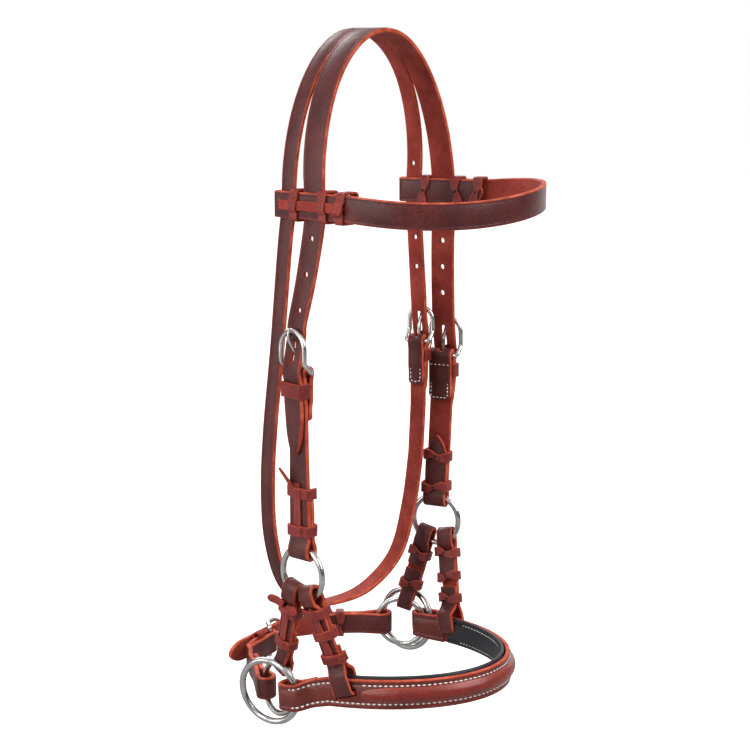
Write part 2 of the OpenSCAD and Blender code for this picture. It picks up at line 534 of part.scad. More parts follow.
// Long strap: from the right browband loop, under the throat, up to the left buckle
function throat_path() = concat(
    top_pts(-81.9, 0.12),
    smooth([thr(-81.9, hinge_y, hinge_z, 0.12, 1), thr(-82.4, 18, -154, 0.14, 1),
        thr(-83, 25, -225, 0.14, 1), thr(-83.5, 32, -287, 0.12, 1), thr(-82, 36, -335, 0.1, 1),
        thr(-76, 37.5, -376, 0.06, 1), thr(-60, 38, -412, 0, 1), thr(-34, 37, -433, 0, 1),
        thr(0, 34, -440.5, 0, 1), thr(30, 24, -435, 0, 1), thr(57, 14, -412, 0, 1),
        thr(72, 11, -374, -0.08, 1), thr(76.5, 7.6, -332, -0.14, 1)], 4),
    smooth([throat_l(ply, -52), throat_l(ply, -27), throat_l(sewn_ply, -18), throat_l(sewn_ply, -7)], 2),
    [for (p = arc([0, 0], bar_fold, -10, 190, 12)) throat_l(p[0], p[1])],
    smooth([throat_l(-sewn_ply, -7), throat_l(-sewn_ply, -18), throat_l(-ply, -26), throat_l(-ply, -35)], 3)
);
module throatlatch() color([0.33, 0.13, 0.11]) difference() {
    P = throat_path();
    ribbon(P, [for (i = [0 : len(P) - 1]) i < len(top_w) ? top_w[i] : throat_w], t);
    translate(throat_bar) rotate([0, 0, throat_toe]) tongue_slot();
}
function billet_path() = concat(
    top_pts(81.9, -0.12),
    smooth([thr(81.9, hinge_y, hinge_z, -0.12, 1), thr(81, 11.7, -157, -0.13, 1),
        thr(79, 8.5, -186, -0.14, 1), throat_l(2.3, 32), throat_l(3, 24), throat_l(5.3, 13),
        throat_l(8.1, 0), throat_l(sewn_ply + t + 0.3, -8), throat_l(sewn_ply + t + 0.3, -18),
        throat_l(ply + t + 0.5, -29), throat_l(ply + t + 0.5, -48)], 3)
);
throat_holes = [[10.6, -158], [8.6, -181]];
module throat_billet() color([0.33, 0.13, 0.11]) difference() {
    P = billet_path();
    W = rounded_end(len(P), throat_w, 4);
    ribbon(P, [for (i = [0 : len(P) - 1]) i < len(top_w) ? top_w[i] : W[i]], t);
    for (h = throat_holes) translate([65, h[0] + 0.8, h[1]]) rotate([0, 90, 0])
        cylinder(h = 40, d = hole_d - 0.5, $fn = 24);
    to_frame(throat_bar, throat_toe)
        translate([0, 0, hole_up]) rotate([0, 90, 0]) long_hole(hole_d - 0.5, hole_long);
}
throat_leg = 10;
throat_rise = 26;
module throat_buckle() color([0.75, 0.75, 0.76])
    to_frame(throat_bar, throat_toe) buckle_frame(throat_leg, cheek_out, throat_rise);
module throat_tongue() color([0.75, 0.75, 0.76])
    to_frame(throat_bar, throat_toe) buckle_tongue(cheek_out, throat_rise);
module throat_keeper() color([0.40, 0.15, 0.12])
    to_frame(throat_bar, throat_toe) sewn_keeper(throat_w, -7.2, 9, sewn_ply + t * 1.5 + 0.6);

headpiece();
browband();
browband_lace(0);  // right_browband_lace
browband_lace(1);  // left_browband_lace
cheekpiece(0);  // right_cheekpiece
cheekpiece(1);  // left_cheekpiece
cheek_lace(0);  // right_cheek_lace
cheek_lace(1);  // left_cheek_lace
cheek_buckle(0);  // right_cheek_buckle
cheek_buckle(1);  // left_cheek_buckle
cheek_tongue(0);  // right_cheek_tongue
cheek_tongue(1);  // left_cheek_tongue
cheek_keeper(0);  // right_cheek_keeper
cheek_keeper(1);  // left_cheek_keeper
upper_ring(0);  // right_upper_ring
upper_ring(1);  // left_upper_ring
link_strap(0, true);  // right_front_link
link_strap(1, true);  // left_front_link
link_lace(0, true, [9.5, 28, 47]);  // right_front_link_lace
link_lace(1, true, [9.5, 29, 46.5]);  // left_front_link_lace
link_strap(0, false);  // right_rear_link
link_strap(1, false);  // left_rear_link
link_lace(0, false, [14, 43]);  // right_rear_link_lace
link_lace(1, false, [13, 40]);  // left_rear_link_lace
noseband();
noseband_roll();
noseband_padding();
jaw_ring(0);  // right_jaw_ring
jaw_ring(1);  // left_jaw_ring
rein_ring(0);  // right_rein_ring
rein_ring(1);  // left_rein_ring
chin_long_strap();
chin_buckle_strap();
chin_buckle();
chin_tongue();
chin_fixed_keeper();
chin_sliding_keeper();
throatlatch();
throat_billet();
throat_buckle();
throat_tongue();
throat_keeper();
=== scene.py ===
"""Bitless hackamore: leather, lacing, stitching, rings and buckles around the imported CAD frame.

Lengths in the strap routes are millimetres in the row frame, as in the CAD source; the mesh
builders turn them into metres. Side 0 is the horse's right (-X), side 1 its left (+X). Most of
side 0 is drawn at +X, and mirrored where its mesh is made.
"""
import math

import bmesh
import bpy
import numpy as np
from mathutils import Matrix, Vector


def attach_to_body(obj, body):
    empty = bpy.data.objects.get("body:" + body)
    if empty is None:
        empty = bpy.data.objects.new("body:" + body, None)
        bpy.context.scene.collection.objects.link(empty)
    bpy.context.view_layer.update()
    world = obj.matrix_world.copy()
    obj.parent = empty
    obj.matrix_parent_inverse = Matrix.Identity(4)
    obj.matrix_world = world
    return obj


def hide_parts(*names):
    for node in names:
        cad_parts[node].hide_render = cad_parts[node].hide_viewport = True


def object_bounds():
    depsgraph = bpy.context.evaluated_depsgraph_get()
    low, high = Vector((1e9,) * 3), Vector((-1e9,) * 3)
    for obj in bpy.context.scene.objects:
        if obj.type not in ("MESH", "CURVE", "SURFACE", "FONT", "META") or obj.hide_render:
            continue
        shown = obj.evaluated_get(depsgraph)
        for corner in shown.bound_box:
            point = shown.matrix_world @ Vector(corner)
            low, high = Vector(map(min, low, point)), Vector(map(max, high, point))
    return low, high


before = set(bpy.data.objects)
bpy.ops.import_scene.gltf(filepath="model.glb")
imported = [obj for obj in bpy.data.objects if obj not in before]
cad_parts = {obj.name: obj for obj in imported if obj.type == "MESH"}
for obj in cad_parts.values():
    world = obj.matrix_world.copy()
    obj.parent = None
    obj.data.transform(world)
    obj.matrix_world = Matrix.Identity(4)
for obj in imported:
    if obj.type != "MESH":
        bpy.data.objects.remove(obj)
cad_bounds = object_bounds()

MM = 0.001
SIDES = {0: "right", 1: "left"}
scene = bpy.context.scene


def add(name, data):
    """A new object in the scene."""
    obj = bpy.data.objects.new(name, data)
    scene.collection.objects.link(obj)
    return obj


def aim(obj, at, way):
    """Put a camera or light at a point, facing along way."""
    obj.location = at
    obj.rotation_euler = Vector(way).to_track_quat("-Z", "Y").to_euler()


# ---------- camera ----------
VIEW_FROM = Vector((-1.0581, -0.7209, -0.0159))
VIEW_BACK = Vector((-0.8139, -0.5511, 0.1840))
camera_data = bpy.data.cameras.new("camera")
camera_data.sensor_width = 36
camera_data.lens = 82.22
scene.camera = add("camera", camera_data)
aim(scene.camera, VIEW_FROM, -VIEW_BACK)

# ---------- sizes, as in the CAD source ----------
CHEEK_W, THROAT_W, T, LINK_T, LINK_W = 19.0, 12.7, 3.4, 2.8, 15.0
BROW_W, NOSE_H, PAD_T, CHIN_W, LACE_T = 19.0, 22.0, 5.0, 17.0, 1.8
HEAD_HALF_W, ARCH_H, BROW_DEPTH = 85.5, 115.0, 86.5
NOSE_HALF_W, NOSE_REACH = 88.5, 129.0
UPPER_OD, REIN_OD, UPPER_WIRE, REIN_WIRE, BUCKLE_WIRE = 44.0, 54.0, 4.5, 5.0, 3.6
HOLE_D, HOLE_UP, HOLE_LONG = 4.5, 15.2, 12.5
PLY = T / 2 + 0.25
SEWN_PLY = T / 2 + 1.1
BAR_X, BAR_Y, BAR_Z = 90.0, [-1.0, -8.0], [-239.0, -252.0]
BAR = [[BAR_X, y, z] for y, z in zip(BAR_Y, BAR_Z)]
TOE, RING_TOE = [15.0, 8.0], 8.0
HINGE_Y, HINGE_Z = 14.5, -126.0
BROW_TOP, BROW_IN = -111.0, 3.5
UPPER_C = np.array([91.5, -2.6, -389.0])
UPPER_R = (UPPER_OD - UPPER_WIRE) / 2
REIN_R = (REIN_OD - REIN_WIRE) / 2
END_X, END_DZ, SIDE_Z = 87.5, [-7.0, 1.5], [-486.5, -478.3]
JAW_FRONT, REIN_FRONT, WIRE_DX = [10.9, 4.9], [5.8, -0.2], 0.8
JAW_TOE, JAW_TILT, REIN_TOE, REIN_TILT = 20.0, 5.0, -4.0, -5.0
JAW_X, REIN_X = END_X - WIRE_DX, END_X + WIRE_DX
THROAT_BAR, THROAT_TOE = [71.0, 3.0, -239.0], 8.0
CHIN_BAR, CHIN_A, CHIN_LEAN = [-4.0, 96.0, -485.2], 174.0, 5 / 75
SLOT_Y, SLOT_Z = [-34.0, -27.0], -478.5
NOSE_Y, NOSE_TOP, NOSE_SLOPE = 12.5, -468.0, -0.05


# ---------- path helpers ----------
def sin(a):
    return math.sin(math.radians(a))


def cos(a):
    return math.cos(math.radians(a))


def unit(v):
    v = np.asarray(v, float)
    return v / np.linalg.norm(v)


def clamp(x, lo=0.0, hi=1.0):
    return min(hi, max(lo, x))


def smooth(points, n=7):
    """A smooth curve through every control point."""
    P = [np.asarray(p, float) for p in points]
    out = []
    for i in range(len(P) - 1):
        a, b, c, d = P[max(i - 1, 0)], P[i], P[i + 1], P[min(i + 2, len(P) - 1)]
        for k in range(n):
            s = k / n
            out.append(0.5 * (2 * b + (c - a) * s + (2 * a - 5 * b + 4 * c - d) * s * s
                              + (3 * b - a - 3 * c + d) * s ** 3))
    out.append(P[-1])
    return out


def through(at, points):
    """A smooth curve through at(*p) for each of the points."""
    return smooth([at(*p) for p in points])


def arc(c, r, a0, a1, n=20):
    return [np.array([c[0] + r * cos(a0 + (a1 - a0) * i / n),
                      c[1] + r * sin(a0 + (a1 - a0) * i / n)]) for i in range(n + 1)]


def place(B, a, n, w, z):
    """A point n outwards, w to the rear and z above B, in axes turned by a."""
    return [B[0] + n * cos(a) - w * sin(a), B[1] + n * sin(a) + w * cos(a), B[2] + z]


def place_w(B, a, n, z):
    """A point of a strap's path: its place, then the direction of the strap's width."""
    return np.array(place(B, a, n, 0, z) + [-sin(a), cos(a), 0.0])


def other_side(P):
    """A path drawn at +X, mirrored to -X and run the other way."""
    return [np.array([-p[0], p[1], p[2], -p[3], p[4], p[5]]) for p in reversed(P)]


def both_ways(R, L):
    return other_side(R) + list(L[1:])


def matrix(out, across, along, origin):
    """Local axes as a 4x4 matrix: outwards, across and along a strap."""
    M = np.eye(4)
    M[:3, 0], M[:3, 1], M[:3, 2], M[:3, 3] = out, across, along, origin
    return M


def frame_at(origin, a=0):
    """Local axes: outwards, to the rear, up."""
    return matrix([cos(a), sin(a), 0], [-sin(a), cos(a), 0], [0, 0, 1], origin)


def level_frame(origin, a):
    """Local axes of a strap that runs level: outwards, up, forwards."""
    return matrix([cos(a), sin(a), 0], [0, 0, 1], [sin(a), -cos(a), 0], origin)


def local(M, x, y, z, w=()):
    """A point given in the local axes of M, then a width direction if there is one."""
    return np.concatenate([(M @ np.array([x, y, z, 1]))[:3], w])


# ---------- procedural materials ----------
MIX_A, MIX_B, MIX_RESULT = 6, 7, 2  # the Mix node's colour sockets


def node(tree, kind, **values):
    """A shader node with its settings and input values, in a row with the ones before it."""
    n = tree.nodes.new("ShaderNode" + kind)
    n.location = (220 * len(tree.nodes) - 3000, -300)
    for k, v in values.items():
        if hasattr(n, k):
            setattr(n, k, v)
        else:
            n.inputs[k].default_value = v
    return n


def feed(source, output, target, socket):
    source.id_data.links.new(source.outputs[output], target.inputs[socket])


def ramp(tree, stops):
    n = node(tree, "ValToRGB")
    while len(n.color_ramp.elements) < len(stops):
        n.color_ramp.elements.new(0.5)
    for e, (pos, col) in zip(n.color_ramp.elements, stops):
        e.position = pos
        e.color = (*col, 1)
    return n


def scaled(source, output, factor, plus=None):
    """An output times a factor, plus another output if one is given."""
    n = node(source.id_data, "Math", operation="MULTIPLY_ADD" if plus else "MULTIPLY")
    n.inputs[1].default_value = factor
    feed(source, output, n, 0)
    if plus:
        feed(*plus, n, 2)
    return n


def on_object(*textures):
    """Map textures by the object's own coordinates."""
    coords = node(textures[0].id_data, "TexCoord")
    for t in textures:
        feed(coords, "Object", t, "Vector")


def tinted(b, texture, stops):
    """Base colour that follows a texture through a ramp."""
    tone = ramp(b.id_data, stops)
    feed(texture, "Fac", tone, "Fac")
    feed(tone, "Color", b, "Base Color")


def uneven_gloss(b, texture, lo, hi):
    """Roughness that follows a texture from lo to hi."""
    gloss = node(b.id_data, "MapRange", **{"To Min": lo, "To Max": hi})
    feed(texture, "Fac", gloss, "Value")
    feed(gloss, "Result", b, "Roughness")


def bumped(b, source, output, strength, depth):
    """Fine relief that follows an output."""
    bump = node(b.id_data, "Bump", Strength=strength, Distance=depth)
    feed(source, output, bump, "Height")
    feed(bump, "Normal", b, "Normal")


def new_material(name, rough, sheen=0.0, coat=0.0, metal=0.0, specular=0.5):
    m = bpy.data.materials.new(name)
    m.use_nodes = True
    b = m.node_tree.nodes["Principled BSDF"]
    for socket, value in (("Roughness", rough), ("Metallic", metal), ("Sheen Weight", sheen),
                          ("Coat Weight", coat), ("Coat Roughness", 0.35), ("Specular IOR Level", specular)):
        b.inputs[socket].default_value = value
    return m, m.node_tree, b


def leather(name, dark, mid, light, rough=0.42, grain=0.35, mottle=38.0, pores=1100.0,
            sheen=0.0, coat=0.0, worn=None, wrinkle=0.3, specular=0.3):
    """Dyed leather: clouded colour, pores and fine wrinkles, and lighter worn borders."""
    m, tree, b = new_material(name, rough, sheen=sheen, coat=coat, specular=specular)
    clouds = node(tree, "TexNoise", Scale=mottle, Detail=5.0, Roughness=0.6)
    specks = node(tree, "TexNoise", Scale=mottle * 14, Detail=3.0, Roughness=0.7)
    cells = node(tree, "TexVoronoi", Scale=pores)
    folds = node(tree, "TexNoise", Scale=pores / 5, Detail=6.0, Roughness=0.65, Distortion=0.6)
    on_object(clouds, specks, cells, folds)
    half = scaled(clouds, "Fac", 0.55)
    tone = scaled(specks, "Fac", 0.45, plus=(half, 0))
    colours = ramp(tree, [(0.36, dark), (0.5, mid), (0.64, light)])
    feed(tone, 0, colours, "Fac")
    colour = (colours, "Color")
    if worn is not None:
        wear = node(tree, "Attribute", attribute_name="wear")
        rub = node(tree, "Math", operation="MULTIPLY")
        feed(wear, "Fac", rub, 0)
        feed(clouds, "Fac", rub, 1)
        mix = node(tree, "Mix", data_type="RGBA")
        feed(rub, 0, mix, "Factor")
        feed(*colour, mix, MIX_A)
        mix.inputs[MIX_B].default_value = (*worn, 1)
        colour = (mix, MIX_RESULT)
    feed(*colour, b, "Base Color")
    uneven_gloss(b, specks, rough - 0.1, rough + 0.14)
    height = scaled(folds, "Fac", wrinkle, plus=(cells, "Distance"))
    bumped(b, height, 0, grain, 0.0004)
    return m


def suede(name, *tones):
    """The flesh side of a strap: matt, fibrous and mottled."""
    return leather(name, *tones, rough=0.72, grain=0.55, mottle=60.0, pores=1700.0, sheen=0.04,
                   wrinkle=0.9, specular=0.12)


def cut_edge(name, *tones):
    """The cut edge of a strap: dry and rough."""
    return leather(name, *tones, rough=0.55, grain=0.5, mottle=110.0, pores=2000.0, wrinkle=1.0,
                   specular=0.15)


def metal(name, tint, rough, scale):
    """Plated wire: bright, with faint polishing marks and smudges."""
    m, tree, b = new_material(name, rough, metal=1.0)
    marks = node(tree, "TexNoise", Scale=scale, Detail=4.0, Roughness=0.7)
    smudge = node(tree, "TexNoise", Scale=scale / 9, Detail=2.0)
    on_object(marks, smudge)
    tinted(b, smudge, [(0.35, [c * 0.80 for c in tint]), (0.62, tint)])
    uneven_gloss(b, marks, rough * 0.6, rough * 1.8)
    bumped(b, marks, "Fac", 0.08, 0.0002)
    return m


def thread(name, tint):
    """Twisted sewing thread."""
    m, tree, b = new_material(name, 0.75, sheen=0.2)
    twist = node(tree, "TexWave", Scale=900.0, Distortion=2.0)
    on_object(twist)
    tinted(b, twist, [(0.0, [c * 0.72 for c in tint]), (0.6, tint)])
    bumped(b, twist, "Fac", 0.4, 0.0002)
    return m


GRAIN = leather("strap_grain", (0.044, 0.008, 0.008), (0.068, 0.012, 0.012), (0.105, 0.021, 0.019),
                rough=0.38, worn=(0.20, 0.030, 0.018))
NOSE = leather("nose_grain", (0.110, 0.010, 0.006), (0.175, 0.016, 0.010), (0.26, 0.030, 0.017),
               rough=0.30, coat=0.2, worn=(0.32, 0.050, 0.025))
NOSE_FLAT = leather("noseband_flat_grain", (0.074, 0.009, 0.006), (0.118, 0.015, 0.010),
                    (0.180, 0.026, 0.017), rough=0.31, coat=0.2)
LACE = leather("lace_grain", (0.105, 0.009, 0.008), (0.170, 0.016, 0.013), (0.26, 0.034, 0.026),
               rough=0.40, worn=(0.26, 0.045, 0.032))
FLESH = suede("strap_flesh", (0.165, 0.022, 0.015), (0.26, 0.036, 0.025), (0.37, 0.062, 0.042))
EDGE = cut_edge("cut_edge", (0.20, 0.024, 0.009), (0.44, 0.062, 0.027), (0.66, 0.15, 0.08))
LACE_EDGE = cut_edge("lace_edge", (0.16, 0.018, 0.010), (0.27, 0.036, 0.020), (0.44, 0.085, 0.050))
PAD = leather("soft_padding", (0.010, 0.010, 0.012), (0.016, 0.016, 0.019), (0.030, 0.030, 0.036),
              rough=0.5, grain=0.45, pores=900.0, wrinkle=0.8)
SHADE = leather("hole_shade", (0.006, 0.003, 0.003), (0.010, 0.004, 0.004), (0.016, 0.006, 0.006), rough=0.8)
STEEL = metal("stainless", (0.56, 0.55, 0.53), 0.17, 900.0)
NICKEL = metal("nickel", (0.62, 0.61, 0.59), 0.19, 1100.0)
WHITE = thread("white_thread", (0.86, 0.83, 0.78))
STRAP = [GRAIN, EDGE, FLESH]
NOSE_STRAP = [NOSE_FLAT, EDGE, FLESH]
LACES = [LACE, LACE_EDGE, FLESH, SHADE]

# ---------- mesh builder ----------
ON_GRAIN, ON_EDGE, ON_FLESH = 0, 1, 2
BEAD_SIDES, BEAD_RINGS = 8, 6
SHARP_ANGLE = math.radians(40)


def section(w, t, r, creases=(), crown=0.0):
    """Outline of a strap: (across, outwards, material, wear), counter-clockwise."""
    a, b = w / 2, t / 2
    r = min(r, a * 0.45, b * 0.95)
    inner = max(a - r - 1.1, a * 0.3)

    def corner(side, top, angles, mat=ON_EDGE):
        return [(side * (a - r) + r * cos(x), top * (b - r) + r * sin(x), mat, 1.0) for x in angles]

    grain = [(inner, 0.0, 0.15)]
    for v, depth, half in creases:
        grain += [(v + half, 0.0, 0.1), (v, -depth, 0.0), (v - half, 0.0, 0.1)]
    if crown:
        grain += [(v * inner, 0.0, 0.0) for v in (0.66, 0.33, 0.0, -0.33, -0.66)]
    grain += [(-inner, 0.0, 0.15)]
    grain.sort(key=lambda g: -g[0])
    return ([(-(a - r), -b, ON_FLESH, 0.8), (-inner, -b, ON_FLESH, 0.1), (inner, -b, ON_FLESH, 0.1)]
            + corner(1, -1, (-90, -55, -20)) + corner(1, 1, (20, 55)) + [(a - r, b, ON_GRAIN, 1.0)]
            + [(v, b + dh + crown * (1 - (v / a) ** 2), ON_GRAIN, wear) for v, dh, wear in grain]
            + corner(-1, 1, (90,), ON_GRAIN) + corner(-1, 1, (125, 160)) + corner(-1, -1, (200, 235)))


def route(P):
    """Centres, width directions and side directions along a path."""
    A = np.array([np.asarray(p, float)[:6] for p in P])
    C, W0 = A[:, :3], A[:, 3:]
    D = np.empty_like(C)
    D[1:-1] = C[2:] - C[:-2]
    D[0] = C[1] - C[0]
    D[-1] = C[-1] - C[-2]
    D /= np.linalg.norm(D, axis=1)[:, None]
    W = W0 - (W0 * D).sum(1)[:, None] * D
    W /= np.linalg.norm(W, axis=1)[:, None]
    return C, W, np.cross(D, W)


def thin(P, least=0.12):
    """Drop points that lie closer together than least."""
    out = [P[0]]
    for p in P[1:]:
        if np.linalg.norm(np.asarray(p)[:3] - np.asarray(out[-1])[:3]) > least:
            out.append(p)
    return out


def lengths(C):
    return np.concatenate([[0], np.cumsum(np.linalg.norm(np.diff(C, axis=0), axis=1))])


def tapered(P, w, tip=0.0, start=0.0, pointed=False):
    """Widths along a path with a rounded or pointed tip."""
    s = lengths(np.array([np.asarray(p)[:3] for p in P]))
    out = []
    for x in s:
        f = 1.0
        for d, size in ((s[-1] - x, tip), (x, start)):
            if size and d < size:
                k = 1 - d / size
                f *= max(0.12, (1 - k ** 1.7) ** 0.75 if pointed else math.sqrt(1 - k * k))
        out.append(w * f)
    return out


def edit(mesh, *steps):
    """Run steps on a mesh, then turn its faces outwards."""
    bm = bmesh.new()
    bm.from_mesh(mesh)
    for step in steps:
        step(bm)
    bmesh.ops.recalc_face_normals(bm, faces=bm.faces)
    bm.to_mesh(mesh)
    bm.free()
    return mesh


def evaluated(obj):
    """An object's mesh with its modifiers or its bevel applied."""
    bpy.context.view_layer.update()
    return bpy.data.meshes.new_from_object(obj.evaluated_get(bpy.context.evaluated_depsgraph_get()))


def attach(obj, body, nodes, slot):
    """State the body a piece rides on and the CAD nodes it replaces. The slot argument is not used."""
    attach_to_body(obj, body)
    if nodes:
        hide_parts(*nodes)
    return obj


class Piece:
    """Collects swept straps, stitches and beads into one mesh."""

    def __init__(self, mirror=False):
        self.mirror = mirror
        self.v, self.f, self.m, self.wear = [], [], [], []

    def skin(self, base, rings, k, mats, cap, closed=False):
        """Faces over rings of k points from vertex base on; open ends get caps."""
        for i in range(rings if closed else rings - 1):
            j = (i + 1) % rings
            for q in range(k):
                n = (q + 1) % k
                self.f.append([base + i * k + q, base + i * k + n, base + j * k + n, base + j * k + q])
                self.m.append(mats[q])
        if not closed:
            for i in (0, rings - 1):
                self.f.append([base + i * k + q for q in range(k)])
                self.m.append(cap)
        return self

    def sweep(self, P, width, thick, grain=1, r=0.9, mats=(0, 1, 2), closed=False, **shape):
        """A strap along P; grain is 1 or -1, for the side of the path that its grain faces."""
        P = thin(P)
        C, W, N = route(P)
        if closed:
            D = np.roll(C, -1, 0) - np.roll(C, 1, 0)
            D /= np.linalg.norm(D, axis=1)[:, None]
            N = np.cross(D, W)
        N = N * grain
        widths = width if hasattr(width, "__len__") else [width] * len(P)
        thicks = thick if hasattr(thick, "__len__") else [thick] * len(P)
        if len(widths) != len(P):
            raise ValueError("one width per point")
        full, deep = max(widths), max(thicks)
        outline = section(full, deep, r, **shape)
        base = len(self.v)
        for i in range(len(P)):
            for v, h, _, wear in outline:
                self.v.append(C[i] + W[i] * v * widths[i] / full + N[i] * h * thicks[i] / deep)
                self.wear.append(wear)
        return self.skin(base, len(P), len(outline), [mats[o[2]] for o in outline], mats[ON_EDGE], closed)

    def bead(self, centre, along, out, half, r, mat=0, flat=1.0):
        """A rounded grain with its ends sunk: a stitch, or a near-black bead of painted shade in the eye of a
        knot.
        """
        a, o = unit(along), np.asarray(out, float)
        o = unit(o - a * (o @ a))
        w = np.cross(a, o)
        base = len(self.v)
        for i in range(BEAD_RINGS + 1):
            x = -1 + 2 * i / BEAD_RINGS
            size = r * max(0.12, (1 - x * x)) ** 0.42
            mid = np.asarray(centre) + a * half * x - o * r * 0.9 * x * x
            for k in range(BEAD_SIDES):
                t = 360 * k / BEAD_SIDES
                self.v.append(mid + w * size * cos(t) + o * size * flat * sin(t))
                self.wear.append(0.0)
        return self.skin(base, BEAD_RINGS + 1, BEAD_SIDES, [mat] * BEAD_SIDES, mat)

    def stitches(self, line, normals, pitch, length, r, skip=None):
        """Stitches along a line, with none where skip(place) is true."""
        line, normals = np.array(line), np.array(normals)
        s = lengths(line)

        def at(x, rows=line):
            return np.array([np.interp(x, s, rows[:, k]) for k in range(3)])

        count = int(s[-1] // pitch)
        for i in range(count):
            x = (i + 0.5) * s[-1] / count
            if skip is None or not skip(at(x)):
                self.bead(at(x), at(x + 0.8) - at(x - 0.8), at(x, normals), length / 2, r)
        return self

    def object(self, name, body, materials, nodes=(), slot=None, cuts=()):
        mesh = bpy.data.meshes.new(name)
        V = np.array(self.v) * MM
        if self.mirror:
            V[:, 0] *= -1
        mesh.from_pydata([tuple(p) for p in V], [], self.f)
        for m in materials:
            mesh.materials.append(m)
        mesh.polygons.foreach_set("material_index", self.m)
        wear = mesh.attributes.new("wear", "FLOAT", "POINT")
        wear.data.foreach_set("value", np.array(self.wear, np.float32))
        obj = add(name, edit(mesh))
        if cuts:
            carve(obj, cuts)
        obj.data.shade_smooth()
        obj.data.set_sharp_from_angle(angle=SHARP_ANGLE)
        return attach(obj, body, nodes, slot)


def carve(obj, cuts):
    """Cut holes and slots: each cut is a closed mesh whose walls take the cut-edge material."""
    for c in cuts:
        for m in obj.data.materials:
            c.data.materials.append(m)
        c.data.polygons.foreach_set("material_index", [ON_EDGE] * len(c.data.polygons))
        mod = obj.modifiers.new("cut", "BOOLEAN")
        mod.operation = "DIFFERENCE"
        mod.solver = "EXACT"
        mod.object = c
    mesh, old = evaluated(obj), obj.data
    obj.modifiers.clear()
    obj.data = mesh
    mesh.name = obj.name
    bpy.data.meshes.remove(old)
    for c in cuts:
        bpy.data.objects.remove(c)


def cutter(M, draw, mirror=False):
    """A cutting mesh drawn by draw(bm) in millimetres, placed by the 4x4 matrix M."""
    F = Matrix.Scale(MM, 4) @ Matrix([list(r) for r in M])
    if mirror:
        F = Matrix.Diagonal((-1, 1, 1, 1)) @ F
    return add("cutter", edit(bpy.data.meshes.new("cutter"), draw,
                              lambda bm: bmesh.ops.transform(bm, matrix=F, verts=bm.verts)))


def punch(d, long=0.0):
    """A round hole through X, drawn out along Z by long."""
    def draw(bm):
        n = 32
        ends = []
        for x in (-20, 20):
            ends.append([bm.verts.new((x, d / 2 * cos(360 * k / n),
                                       d / 2 * sin(360 * k / n) + (long / 2 if k < n / 2 else -long / 2)))
                         for k in range(n)])
        for k in range(n):
            bm.faces.new([ends[0][k], ends[0][(k + 1) % n], ends[1][(k + 1) % n], ends[1][k]])
        bm.faces.new(ends[0])
        bm.faces.new(ends[1])
    return draw


def block(lo, hi):
    def draw(bm):
        size = [h - l for l, h in zip(lo, hi)]
        mid = [(h + l) / 2 for l, h in zip(lo, hi)]
        bmesh.ops.create_cube(bm, size=1, matrix=Matrix.Translation(mid) @ Matrix.Diagonal((*size, 1)))
    return draw


# Holes and slots that a buckle's tongue goes through, from the middle of its bar.
TONGUE_SLOT = block((-4.5, -2.3, -4.2), (10.5, 2.3, 11.8))


def tongue_hole(M, d=HOLE_D, mirror=False):
    return cutter(M @ frame_at([0, 0, HOLE_UP]), punch(d, HOLE_LONG), mirror)


def creased(w, inset=2.3, depth=0.16, half=0.45):
    return ((w / 2 - inset, depth, half), (-w / 2 + inset, depth, half))


# ---------- headpiece ----------
def arch(y0, dy, dx):
    out = []
    for i in range(10):
        a = i * 10
        s = (max(0, a - 33) / 57) ** 1.5
        out.append(np.array([(HEAD_HALF_W - dx * s) * sin(a), y0 + dy * s,
                             -ARCH_H + (ARCH_H + T / 2) * cos(a),
                             -sin(RING_TOE * s), cos(RING_TOE * s), 0]))
    return out


FRONT_Y0 = -6.4
REAR_Y0 = FRONT_Y0 + CHEEK_W / 2 + THROAT_W / 2 + 0.2


def cheek_x(z):
    return BAR_X + (UPPER_C[0] - BAR_X) * clamp((-260 - z) / 100)


def cheek_y(s, z):
    return BAR_Y[s] + (UPPER_C[1] - BAR_Y[s]) * clamp((BAR_Z[s] - 20 - z) / 95)


def cheek_toe(s, z):
    return TOE[s] + (RING_TOE - TOE[s]) * clamp((BAR_Z[s] - 45 - z) / 60)


def cheek_pt(s, n, z):
    return place_w([cheek_x(z), cheek_y(s, z), 0], cheek_toe(s, z), n, z)


def cheek_frame(s, z):
    return frame_at([cheek_x(z), cheek_y(s, z), z], cheek_toe(s, z))


def cheek_bar(s):
    return frame_at(BAR[s], TOE[s])


def front_y(s, z):
    return -11.3 + (BAR_Y[s] + 11.8) * (-132 - z) / (-132 - BAR_Z[s] - 36)


def front_low(s):
    """The front branch from below the browband, over the buckle's bar, to its tip."""
    over, tip = SEWN_PLY + T + 0.3, [-60, -57][s]
    return ([place_w([HEAD_HALF_W + 0.3, front_y(s, -132), -132], RING_TOE, 0, 0),
             place_w([88, front_y(s, -172), -172], (RING_TOE + TOE[s]) / 2, 0, 0)]
            + [place_w(BAR[s], TOE[s], n, z) for n, z in
               ((2.3, 36), (3.0, 28), (5.3, 14), (8.1, 1), (over, -8), (over, -20))]
            + [cheek_pt(s, PLY + T + 0.5, BAR_Z[s] + z) for z in (-32, tip)])


